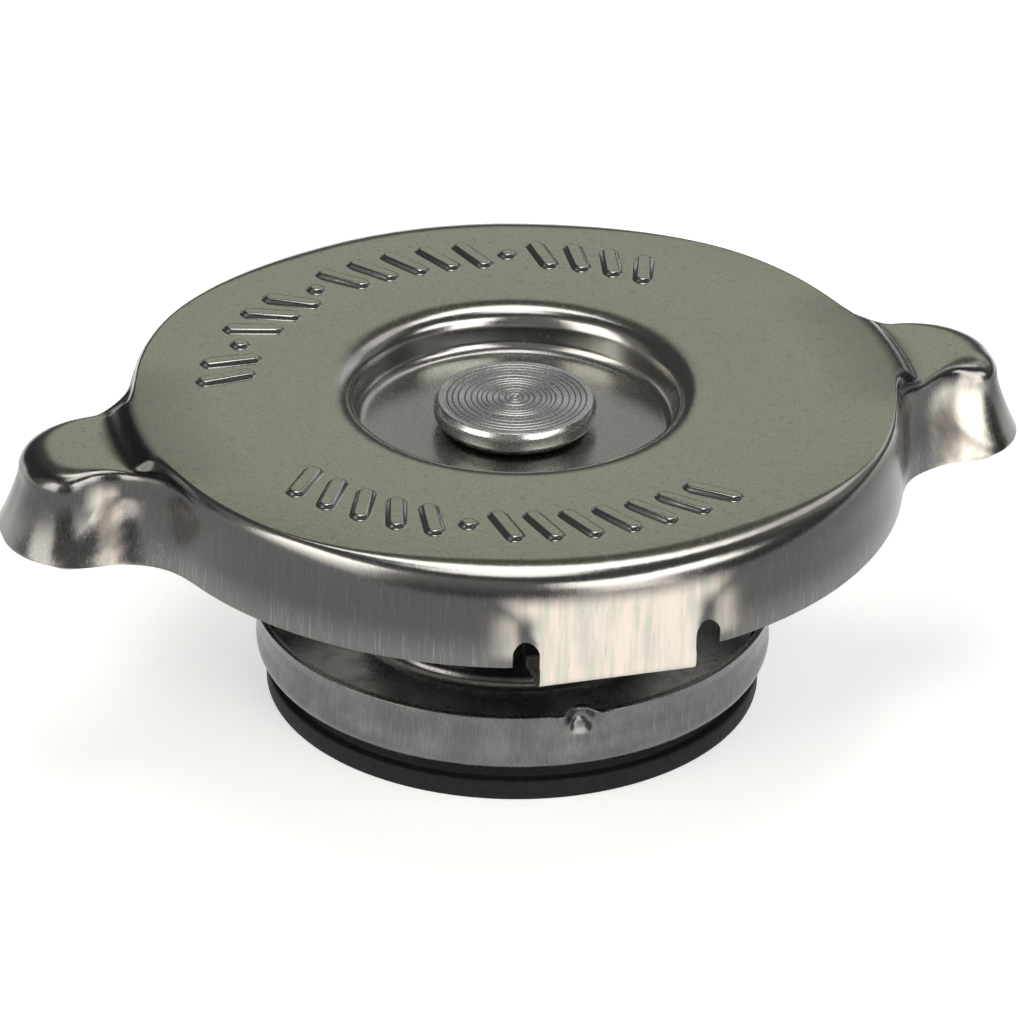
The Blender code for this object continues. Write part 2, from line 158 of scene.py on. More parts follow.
def rounded(corners: Sequence[Corner], closed: bool = False, steps: int = 6) -> Section:
    """Draws a section with its corners rounded.

    Args:
        corners: The section's corners in order.
        closed: Whether the last corner joins the first.
        steps: How many straight stretches make one rounded corner.

    Returns:
        The section's points, radius and height.
    """
    count = len(corners)
    points: Section = []
    for i, corner in enumerate(corners):
        at_end = not closed and i in (0, count - 1)
        here = Vector((corner.r, corner.z))
        if at_end or (corner.fillet <= 0.0 and not corner.legs):
            points.append((here.x, here.y))
            continue
        before = corners[i - 1]
        after = corners[(i + 1) % count]
        back = (Vector((before.r, before.z)) - here).normalized()
        ahead = (Vector((after.r, after.z)) - here).normalized()
        if corner.legs:
            for step in range(steps + 1):
                part = step / steps
                eased = here + back * corner.legs[0] * (1.0 - part) ** 2 + ahead * corner.legs[1] * part ** 2
                points.append((eased.x, eased.y))
            continue
        half = back.angle(ahead) / 2.0
        if half > math.radians(89.0):
            points.append((here.x, here.y))
            continue
        centre = here + (back + ahead).normalized() * corner.fillet / math.sin(half)
        spoke = here + back * corner.fillet / math.tan(half) - centre
        other = here + ahead * corner.fillet / math.tan(half) - centre
        turn = math.atan2(spoke.x * other.y - spoke.y * other.x, spoke.dot(other))
        for step in range(steps + 1):
            angle = turn * step / steps
            cos_a, sin_a = math.cos(angle), math.sin(angle)
            points.append((
                centre.x + spoke.x * cos_a - spoke.y * sin_a,
                centre.y + spoke.x * sin_a + spoke.y * cos_a,
            ))
    return points


def sheet_section(corners: Sequence[Corner], sheet: float, steps: int = 6, edge: float = 0.3) -> Section:
    """Gives an open section the thickness of its sheet, on the left of its way along.

    Args:
        corners: The corners of the sheet's outer side, in order.
        sheet: The sheet's thickness.
        steps: How many straight stretches make one rounded corner.
        edge: How much of half the thickness rounds the two cut edges.

    Returns:
        The closed section's points.
    """
    outer = [Vector(point) for point in rounded(corners, steps=steps)]
    inner = []
    for i, here in enumerate(outer):
        into = (here - outer[max(i - 1, 0)]) if i else (outer[1] - here)
        out = (outer[min(i + 1, len(outer) - 1)] - here) if i < len(outer) - 1 else into
        into, out = into.normalized(), out.normalized()
        along = (into + out).normalized()
        miter = max(0.5, along.dot(into))
        inner.append(here + Vector((-along.y, along.x)) * sheet / miter)
    fillet = edge * sheet
    ends = (0, len(outer) - 1)
    loop = [Corner(p.x, p.y, fillet if i in ends else 0.0) for i, p in enumerate(outer)]
    loop += [Corner(p.x, p.y, fillet if i in ends else 0.0) for i, p in reversed(list(enumerate(inner)))]
    return rounded(loop, closed=True, steps=3)


# Nodes


class Wiring:
    """The nodes and links of a tree under construction."""

    def __init__(self, tree: bpy.types.NodeTree) -> None:
        """Takes the tree to build in."""
        self.nodes, self.links = tree.nodes, tree.links

    def feed(self, socket: Socket, value: object) -> None:
        """Links a socket to an input, or sets its value.

        Args:
            socket: The input.
            value: The socket to link, or the value.
        """
        if isinstance(value, bpy.types.NodeSocket):
            self.links.new(value, socket)
        else:
            socket.default_value = value

    def add(self, kind: str, inputs: dict | None = None, **settings: object) -> bpy.types.Node:
        """Adds a node.

        Args:
            kind: The node's type.
            inputs: Values or sockets for its inputs, by name or place.
            settings: Properties of the node itself.

        Returns:
            The new node.
        """
        node = self.nodes.new(kind)
        for name, value in settings.items():
            setattr(node, name, value)
        for key, value in (inputs or {}).items():
            self.feed(node.inputs[key], value)
        return node

    def sum(self, operation: str, first: object, second: object = 0.0) -> Socket:
        """One step of arithmetic on numbers or sockets."""
        return self.add("ShaderNodeMath", {0: first, 1: second}, operation=operation).outputs[0]

    def chain(self, operation: str, *values: object) -> Socket:
        """Carries one operation through several numbers or sockets, from the first on.

        Args:
            operation: The operation.
            values: The numbers or sockets.

        Returns:
            The result.
        """
        total = values[0]
        for value in values[1:]:
            total = self.sum(operation, total, value)
        return total

    def ease(self, value: object, low: object, high: object, start: float = 0.0, end: float = 1.0) -> Socket:
        """Goes smoothly from start at low to end at high."""
        inputs = {"Value": value, "From Min": low, "From Max": high, "To Min": start, "To Max": end}
        return self.add("ShaderNodeMapRange", inputs, interpolation_type="SMOOTHSTEP").outputs[0]


class Tree(Wiring):
    """A geometry node tree under construction, with named inputs."""

    def __init__(self, name: str) -> None:
        """Starts an empty tree with a geometry in and out.

        Args:
            name: The tree's name.
        """
        self.group = bpy.data.node_groups.new(name, "GeometryNodeTree")
        super().__init__(self.group)
        face = self.group.interface
        face.new_socket("Geometry", in_out="INPUT", socket_type="NodeSocketGeometry")
        face.new_socket("Geometry", in_out="OUTPUT", socket_type="NodeSocketGeometry")
        self.source = self.add("NodeGroupInput")
        self.sink = self.add("NodeGroupOutput")

    def size(self, name: str, kind: str = "NodeSocketFloat") -> Socket:
        """Adds a named input and returns its socket inside the tree."""
        self.group.interface.new_socket(name, in_out="INPUT", socket_type=kind)
        return self.source.outputs[name]

    def point(self, x: object, y: object, z: object) -> Socket:
        """A vector of three numbers or sockets."""
        return self.add("ShaderNodeCombineXYZ", {0: x, 1: y, 2: z}).outputs[0]

    def parts(self, vector: Socket) -> tuple[Socket, ...]:
        """The X, Y and Z of a vector."""
        return tuple(self.add("ShaderNodeSeparateXYZ", {0: vector}).outputs)

    def from_axis(self, x: Socket, y: Socket) -> Socket:
        """The distance from the Z axis."""
        squares = self.sum("ADD", self.sum("MULTIPLY", x, x), self.sum("MULTIPLY", y, y))
        return self.sum("SQRT", squares)

    def moved(self, geometry: Socket, way: str, vector: Socket) -> Socket:
        """Sets every point's place, or its offset, as the way's name says."""
        return self.add("GeometryNodeSetPosition", {"Geometry": geometry, way: vector}).outputs[0]

    def ends(self, geometry: Socket, finish: Socket) -> None:
        """Closes the tree: instances made real, faces smooth, material set.

        Args:
            geometry: What the tree has made.
            finish: The socket that holds its material.
        """
        real = self.add("GeometryNodeRealizeInstances", {"Geometry": geometry})
        smooth = self.add("GeometryNodeSetShadeSmooth", {"Geometry": real.outputs[0]})
        dressed = self.add("GeometryNodeSetMaterial", {"Geometry": smooth.outputs[0], "Material": finish})
        self.links.new(dressed.outputs[0], self.sink.inputs[0])


def grown(obj: bpy.types.Object, tree: Tree, sizes: dict[str, object]) -> bpy.types.Object:
    """Runs a tree on an object and keeps the result as its plain mesh.

    Args:
        obj: The object that carries the tree's starting geometry.
        tree: The tree to run.
        sizes: Values for the tree's named inputs.

    Returns:
        The same object, with the grown mesh and no modifier.
    """
    step = obj.modifiers.new(tree.group.name, "NODES")
    step.node_group = tree.group
    for item in tree.group.interface.items_tree:
        if item.in_out == "INPUT" and item.name in sizes:
            step[item.identifier] = sizes[item.name]
    bpy.context.view_layer.update()
    shape = bpy.data.meshes.new_from_object(obj.evaluated_get(bpy.context.evaluated_depsgraph_get()))
    obj.modifiers.clear()
    obj.data = shape
    shape.name = obj.name
    return obj


def turning_tree() -> Tree:
    """Spins the points of a section about Z into a closed skin.

    Returns:
        The tree.
    """
    tree = Tree("turning")
    steps = tree.size("Steps", "NodeSocketInt")
    wrap = tree.size("Wrap", "NodeSocketInt")
    finish = tree.size("Finish", "NodeSocketMaterial")
    section = tree.source.outputs["Geometry"]
    count = tree.add("GeometryNodeAttributeDomainSize", {"Geometry": section}).outputs["Point Count"]
    columns = tree.sum("ADD", steps, 1.0)
    rows = tree.sum("ADD", count, wrap)
    grid = tree.add("GeometryNodeMeshGrid", {"Vertices X": rows, "Vertices Y": columns})
    index = tree.add("GeometryNodeInputIndex").outputs[0]
    row = tree.sum("FLOOR", tree.sum("DIVIDE", index, columns))
    column = tree.sum("SUBTRACT", index, tree.sum("MULTIPLY", row, columns))
    place = tree.add("GeometryNodeInputPosition").outputs[0]
    sampled = tree.add("GeometryNodeSampleIndex", data_type="FLOAT_VECTOR", domain="POINT")
    tree.links.new(section, sampled.inputs["Geometry"])
    tree.links.new(place, sampled.inputs["Value"])
    tree.links.new(tree.sum("MODULO", row, count), sampled.inputs["Index"])
    radius, _, height = tree.parts(sampled.outputs[0])
    angle = tree.sum("MULTIPLY", tree.sum("DIVIDE", column, steps), 2.0 * math.pi)
    x = tree.sum("MULTIPLY", radius, tree.sum("COSINE", angle))
    y = tree.sum("MULTIPLY", radius, tree.sum("SINE", angle))
    skin = tree.moved(grid.outputs[0], "Position", tree.point(x, y, height))
    whole = tree.add("GeometryNodeMergeByDistance", {"Geometry": skin, "Distance": 0.001 * MM})
    tree.ends(whole.outputs[0], finish)
    return tree


def coil_tree() -> Tree:
    """Winds a wire into a compression spring with a closed turn at each end.

    Returns:
        The tree.
    """
    tree = Tree("coil")
    ring = tree.size("Coil radius")
    wire = tree.size("Wire radius")
    low = tree.size("Low")
    high = tree.size("High")
    turns = tree.size("Turns")
    per_turn = tree.size("Points a turn", "NodeSocketInt")
    finish = tree.size("Finish", "NodeSocketMaterial")
    count = tree.sum("ADD", tree.sum("MULTIPLY", turns, per_turn), 1.0)
    line = tree.add("GeometryNodeCurvePrimitiveLine", {"End": (0.0, 0.0, 1.0)})
    points = tree.add("GeometryNodeResampleCurve", {"Curve": line.outputs[0], "Count": count})
    turn = tree.sum("DIVIDE", tree.add("GeometryNodeInputIndex").outputs[0], per_turn)
    angle = tree.sum("MULTIPLY", turn, 2.0 * math.pi)
    closed_turn, seat_rise = 0.85, 2.24
    left = tree.sum("SUBTRACT", turns, turn)
    seat = tree.sum("MULTIPLY", wire, seat_rise)
    lead = tree.sum("MULTIPLY", tree.sum("MINIMUM", tree.sum("DIVIDE", turn, closed_turn), 1.0), seat)
    done = tree.sum("SUBTRACT", 1.0, tree.sum("MINIMUM", tree.sum("DIVIDE", left, closed_turn), 1.0))
    free = tree.chain("SUBTRACT", high, low, tree.sum("MULTIPLY", wire, 2.0 + 2.0 * seat_rise))
    active = tree.sum("SUBTRACT", turns, 2.0 * closed_turn)
    share = tree.sum("DIVIDE", tree.sum("SUBTRACT", turn, closed_turn), active)
    share = tree.sum("MINIMUM", tree.sum("MAXIMUM", share, 0.0), 1.0)
    climbed, landed = tree.sum("MULTIPLY", share, free), tree.sum("MULTIPLY", done, seat)
    height = tree.chain("ADD", low, wire, lead, climbed, landed)
    x = tree.sum("MULTIPLY", ring, tree.sum("COSINE", angle))
    y = tree.sum("MULTIPLY", ring, tree.sum("SINE", angle))
    wound = tree.moved(points.outputs[0], "Position", tree.point(x, y, height))
    round_wire = tree.add("GeometryNodeCurvePrimitiveCircle", {"Resolution": 16, "Radius": wire})
    tube_inputs = {"Curve": wound, "Profile Curve": round_wire.outputs[0], "Fill Caps": True}
    tree.ends(tree.add("GeometryNodeCurveToMesh", tube_inputs).outputs[0], finish)
    return tree


def emboss_tree() -> Tree:
    """Raises a rounded stroke, or a round pip, at each point of a ring.

    Returns:
        The tree.
    """
    tree = Tree("embossed_marks")
    length = tree.size("Stroke length")
    width = tree.size("Stroke width")
    height = tree.size("Height")
    root = tree.size("Root depth")
    finish = tree.size("Finish", "NodeSocketMaterial")
    ball = tree.add("GeometryNodeMeshUVSphere", {"Segments": 40, "Rings": 28, "Radius": 1.0}).outputs[0]
    x, y, z = tree.parts(tree.add("GeometryNodeInputPosition").outputs[0])
    flat_share, root_dip = 0.45, -0.06
    crown = tree.ease(tree.from_axis(x, y), flat_share, 1.0, 1.0, root_dip)
    above = tree.sum("MULTIPLY", crown, height)
    below = tree.sum("MULTIPLY", z, root)
    raised = tree.sum("GREATER_THAN", z, 0.0)
    lift = tree.sum("ADD", tree.sum("MULTIPLY", raised, above), tree.sum("MINIMUM", below, 0.0))
    half = tree.sum("MULTIPLY", width, 0.5)
    stretch = tree.sum("MULTIPLY", tree.sum("SUBTRACT", length, width), 0.5)
    steepness = 100.0
    side = tree.sum("MAXIMUM", tree.sum("MINIMUM", tree.sum("MULTIPLY", y, steepness), 1.0), -1.0)
    far = tree.sum("ADD", tree.sum("MULTIPLY", y, half), tree.sum("MULTIPLY", side, stretch))
    near = tree.sum("MULTIPLY", y, half)
    across = tree.sum("MULTIPLY", x, half)
    stroke = tree.moved(ball, "Position", tree.point(across, far, lift))
    pip = tree.moved(ball, "Position", tree.point(across, near, lift))
    turn = tree.add("GeometryNodeInputNamedAttribute", {"Name": "turn"}, data_type="FLOAT").outputs[0]
    is_pip = tree.add("GeometryNodeInputNamedAttribute", {"Name": "pip"}, data_type="BOOLEAN").outputs[0]
    turned = tree.add("FunctionNodeEulerToRotation", {0: tree.point(0.0, 0.0, turn)}).outputs[0]
    is_stroke = tree.add("FunctionNodeBooleanMath", {0: is_pip}, operation="NOT").outputs[0]
    layers = []
    for shape, chosen in ((stroke, is_stroke), (pip, is_pip)):
        inputs = {"Points": tree.source.outputs["Geometry"], "Selection": chosen}
        inputs |= {"Instance": shape, "Rotation": turned}
        layers.append(tree.add("GeometryNodeInstanceOnPoints", inputs).outputs[0])
    joined = tree.add("GeometryNodeJoinGeometry")
    for layer in layers:
        tree.links.new(layer, joined.inputs[0])
    tree.ends(joined.outputs[0], finish)
    return tree


def stake_tree() -> Tree:
    """Presses a cup's wall inward in a few places under its rim.

    Returns:
        The tree.
    """
    tree = Tree("stakes")
    count = tree.size("Stakes", "NodeSocketInt")
    first = tree.size("First angle")
    width = tree.size("Width")
    depth = tree.size("Depth")
    deep_z = tree.size("Deep height")
    fade_z = tree.size("Fade height")
    wall = tree.size("Wall radius")
    finish = tree.size("Finish", "NodeSocketMaterial")
    place = tree.add("GeometryNodeInputPosition").outputs[0]
    x, y, z = tree.parts(place)
    pitch = tree.sum("DIVIDE", 2.0 * math.pi, count)
    away = tree.sum("SUBTRACT", tree.sum("ARCTAN2", y, x), first)
    nearest = tree.sum("MULTIPLY", tree.sum("ROUND", tree.sum("DIVIDE", away, pitch)), pitch)
    arc = tree.sum("MULTIPLY", tree.sum("ABSOLUTE", tree.sum("SUBTRACT", away, nearest)), wall)
    deep_share, edge_share = 0.12, 0.62
    lip_share, lip_width, lip_rise = 0.72, 0.3, -0.16
    deep, edge = tree.sum("MULTIPLY", width, deep_share), tree.sum("MULTIPLY", width, edge_share)
    across = tree.ease(arc, deep, edge, 1.0, 0.0)
    from_lip = tree.sum("ABSOLUTE", tree.sum("SUBTRACT", arc, tree.sum("MULTIPLY", width, lip_share)))
    lips = tree.ease(from_lip, 0.0, tree.sum("MULTIPLY", width, lip_width), lip_rise, 0.0)
    down = tree.ease(z, fade_z, deep_z)
    push = tree.chain("MULTIPLY", tree.sum("ADD", across, lips), down, depth)
    radius = tree.from_axis(x, y)
    share = tree.sum("DIVIDE", tree.sum("MULTIPLY", push, -1.0), tree.sum("MAXIMUM", radius, 1.0 * MM))
    offset = tree.point(tree.sum("MULTIPLY", x, share), tree.sum("MULTIPLY", y, share), 0.0)
    tree.ends(tree.moved(tree.source.outputs["Geometry"], "Offset", offset), finish)
    return tree


def facing_tree() -> Tree:
    """Cuts the fine rings that a facing tool leaves on a round top.

    Returns:
        The tree.
    """
    tree = Tree("facing_rings")
    pitch = tree.size("Pitch")
    depth = tree.size("Depth")
    reach = tree.size("Reach")
    floor = tree.size("Lowest face")
    finish = tree.size("Finish", "NodeSocketMaterial")
    place = tree.add("GeometryNodeInputPosition").outputs[0]
    x, y, z = tree.parts(place)
    radius = tree.from_axis(x, y)
    drift_scale, drift_rings = 0.21, 2.2
    drift_inputs = {"W": tree.sum("DIVIDE", radius, pitch), "Scale": drift_scale, "Detail": 2.0}
    drift = tree.add("ShaderNodeTexNoise", drift_inputs, noise_dimensions="1D").outputs[0]
    phase = tree.sum("ADD", tree.sum("DIVIDE", radius, pitch), tree.sum("MULTIPLY", drift, drift_rings))
    swing = tree.sum("COSINE", tree.sum("MULTIPLY", phase, 2.0 * math.pi))
    wave = tree.sum("ADD", tree.sum("MULTIPLY", swing, 0.5), -0.5)
    inside = tree.sum("LESS_THAN", radius, reach)
    on_top = tree.sum("GREATER_THAN", z, floor)
    drop = tree.chain("MULTIPLY", wave, depth, inside, on_top)
    tree.ends(tree.moved(tree.source.outputs["Geometry"], "Offset", tree.point(0.0, 0.0, drop)), finish)
    return tree


# Meshes


class Shop:
    """Makes the pieces' objects and hands each to its body."""

    def __init__(self) -> None:
        """Builds the shared trees once."""
        self.turning = turning_tree()
        self.coil = coil_tree()

    @staticmethod
    def blank(name: str, points: Sequence[Sequence[float]], edges: Sequence[tuple[int, int]] = (),
              faces: Sequence[Sequence[int]] = ()) -> bpy.types.Object:
        """Makes an object from points in millimetres.

        Args:
            name: The piece's name.
            points: Its points.
            edges: Pairs of point numbers.
            faces: Loops of point numbers.

        Returns:
            The linked object, at the origin.
        """
        data = bpy.data.meshes.new(name)
        data.from_pydata([tuple(value * MM for value in point) for point in points], edges, faces)
        data.update()
        obj = bpy.data.objects.new(name, data)
        bpy.context.scene.collection.objects.link(obj)
        return obj

    def turned(self, name: str, section: Section, finish: bpy.types.Material, steps: int = 128,
               closed: bool = True) -> bpy.types.Object:
        """Spins a section into a piece.

        Args:
            name: The piece's name.
            section: Points of radius and height.
            finish: The piece's material.
            steps: Facets round the piece.
            closed: Whether the section is a loop; an open one starts and ends on the axis.

        Returns:
            The turned piece.
        """
        count = len(section)
        edges = [(i, i + 1) for i in range(count - 1)]
        obj = self.blank(name, [(radius, 0.0, height) for radius, height in section], edges)
        grown(obj, self.turning, {"Steps": steps, "Wrap": int(closed), "Finish": finish})
        return self.trued(obj)

    def wound(self, name: str, radius: float, wire: float, low: float, high: float, turns: float,
              finish: bpy.types.Material, per_turn: int = 48) -> bpy.types.Object:
        """Winds a compression spring.

        Args:
            name: The piece's name.
            radius: From the axis to the wire's middle.
            wire: The wire's radius.
            low: Height of its lower end.
            high: Height of its upper end.
            turns: How many turns, the closed ones included.
            finish: The piece's material.
            per_turn: Points along one turn.

        Returns:
            The spring.
        """
        obj = self.blank(name, [(0.0, 0.0, 0.0)])
        sizes = {"Coil radius": radius * MM, "Wire radius": wire * MM, "Low": low * MM, "High": high * MM}
        grown(obj, self.coil, {**sizes, "Turns": turns, "Points a turn": per_turn, "Finish": finish})
        return self.trued(obj)

    @staticmethod
    def trued(obj: bpy.types.Object, sharp_angle: float = 38.0) -> bpy.types.Object:
        """Merges what meets, turns every face outward and sets the shading.

        Args:
            obj: The piece, a closed mesh.
            sharp_angle: Faces that meet at more degrees than this keep a hard edge.

        Returns:
            The same piece.
        """
        work = bmesh.new()
        work.from_mesh(obj.data)
        bmesh.ops.remove_doubles(work, verts=work.verts, dist=0.0005 * MM)
        bmesh.ops.dissolve_degenerate(work, edges=work.edges, dist=0.0002 * MM)
        bmesh.ops.recalc_face_normals(work, faces=work.faces)
        if work.calc_volume(signed=True) < 0.0:
            bmesh.ops.reverse_faces(work, faces=work.faces)
        work.to_mesh(obj.data)
        work.free()
        obj.data.shade_smooth()
        obj.data.set_sharp_from_angle(angle=math.radians(sharp_angle))
        return obj

    @staticmethod
    def fitted(obj: bpy.types.Object, body: Body, node: str | None, slot: Slot) -> bpy.types.Object:
        """Puts a finished piece on its body.

        Args:
            obj: The piece.
            body: The body that it moves with.
            node: The solid that it stands for, if it stands for one.
            slot: Its finish's name, which is not used.

        Returns:
            The same piece.
        """
        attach(obj, body.value)
        if node:
            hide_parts(node)
        LOG.info("%s: %d faces, on %s", obj.name, len(obj.data.polygons), body.value)
        return obj


# Finishes


class Paint(Wiring):
    """A material under construction round one Principled shader."""

    def __init__(self, name: str) -> None:
        """Starts the material with its shader and its Object coordinates.

        Args:
            name: The material's name.
        """
        self.material = bpy.data.materials.new(name)
        self.material.use_nodes = True
        super().__init__(self.material.node_tree)
        self.shader = self.nodes["Principled BSDF"]
        self.place = self.add("ShaderNodeTexCoord").outputs["Object"]

    def noise(self, grain_mm: float, stretch: Scale = (1.0, 1.0, 1.0), detail: float = 3.0,
              roughness: float = 0.55) -> Socket:
        """Noise with spots of a given size, drawn out along an axis by its stretch.

        Args:
            grain_mm: The spots' size in millimetres.
            stretch: How many times longer they are along each axis.
            detail: How many finer layers are added.
            roughness: How strong the finer layers are.

        Returns:
            The noise, about 0.5 on average.
        """
        scale = tuple(1.0 / (grain_mm * MM * value) for value in stretch)
        spread = self.add("ShaderNodeMapping", {"Vector": self.place, "Scale": scale})
        inputs = {"Vector": spread.outputs[0], "Scale": 1.0, "Detail": detail, "Roughness": roughness}
        return self.add("ShaderNodeTexNoise", inputs).outputs[0]

    def blend(self, share: object, first: object, second: object) -> Socket:
        """A colour between two.

        Args:
            share: How much of the second colour, 0 to 1.
            first: The first colour, or its socket.
            second: The second colour, or its socket.

        Returns:
            The mixed colour.
        """
        node = self.add("ShaderNodeMix", data_type="RGBA")
        self.feed(node.inputs["Factor"], share)
        for key, value in ((6, first), (7, second)):
            self.feed(node.inputs[key], (*value, 1.0) if isinstance(value, tuple) else value)
        return node.outputs[2]

    def times(self, value: object, factor: object) -> Socket:
        """The product of two numbers or sockets."""
        return self.sum("MULTIPLY", value, factor)

    def bare_metal(self, colour: Socket, roughness: Socket) -> None:
        """Sets the shader to metal of a colour and roughness.

        Args:
            colour: The metal's colour.
            roughness: Its roughness.
        """
        self.feed(self.shader.inputs["Base Color"], colour)
        self.feed(self.shader.inputs["Roughness"], roughness)
        self.shader.inputs["Metallic"].default_value = 1.0

    def marks(self, name: str) -> Socket:
        """The value that the mesh carries under a name."""
        return self.add("ShaderNodeAttribute", attribute_name=name, attribute_type="GEOMETRY").outputs["Fac"]

    def relief(self, layers: Sequence[tuple[Socket, float]]) -> None:
        """Stacks bump layers.

        Args:
            layers: Each layer's height and its depth in millimetres, from the lowest up.
        """
        below = None
        for height, depth in layers:
            node = self.add("ShaderNodeBump", {"Height": height, "Distance": depth * MM, "Strength": 1.0})
            if below:
                self.links.new(below, node.inputs["Normal"])
            below = node.outputs[0]
        self.links.new(below, self.shader.inputs["Normal"])


@dataclass(frozen=True)
class Metal:
    """A plated or bare metal with drawn streaks, blotches and fine grain."""

    name: str
    colour: Colour
    shade: Colour
    roughness: float
    swing: float
    blotch: float = 3.0
    blotch_share: float = 0.45
    blotch_rough: float = 0.06
    streak: Scale = (1.0, 1.0, 30.0)
    streak_grain: float = 0.16
    streak_share: float = 0.55
    streak_depth: float = 0.004
    fine_grain: float = 0.12
    fine_depth: float = 0.003

    def made(self) -> bpy.types.Material:
        """Builds the metal.

        Returns:
            The material.
        """
        paint = Paint(self.name)
        blotches = paint.ease(paint.noise(self.blotch), 0.38, 0.66)
        streaks = paint.noise(self.streak_grain, self.streak, detail=4.0, roughness=0.7)
        fine = paint.noise(self.fine_grain, detail=4.0, roughness=0.65)
        clear_streaks = paint.ease(streaks, 0.42, 0.72, 0.0, self.streak_share)
        share = paint.sum("ADD", paint.times(blotches, self.blotch_share), clear_streaks)
        swung = paint.ease(streaks, 0.35, 0.7, -self.swing, self.swing)
        dulled = paint.ease(blotches, 0.0, 1.0, 0.0, self.blotch_rough)
        rough = paint.chain("ADD", swung, self.roughness, dulled)
        paint.bare_metal(paint.blend(share, self.colour, self.shade), rough)
        paint.relief([(streaks, self.streak_depth), (fine, self.fine_depth)])
        return paint.material


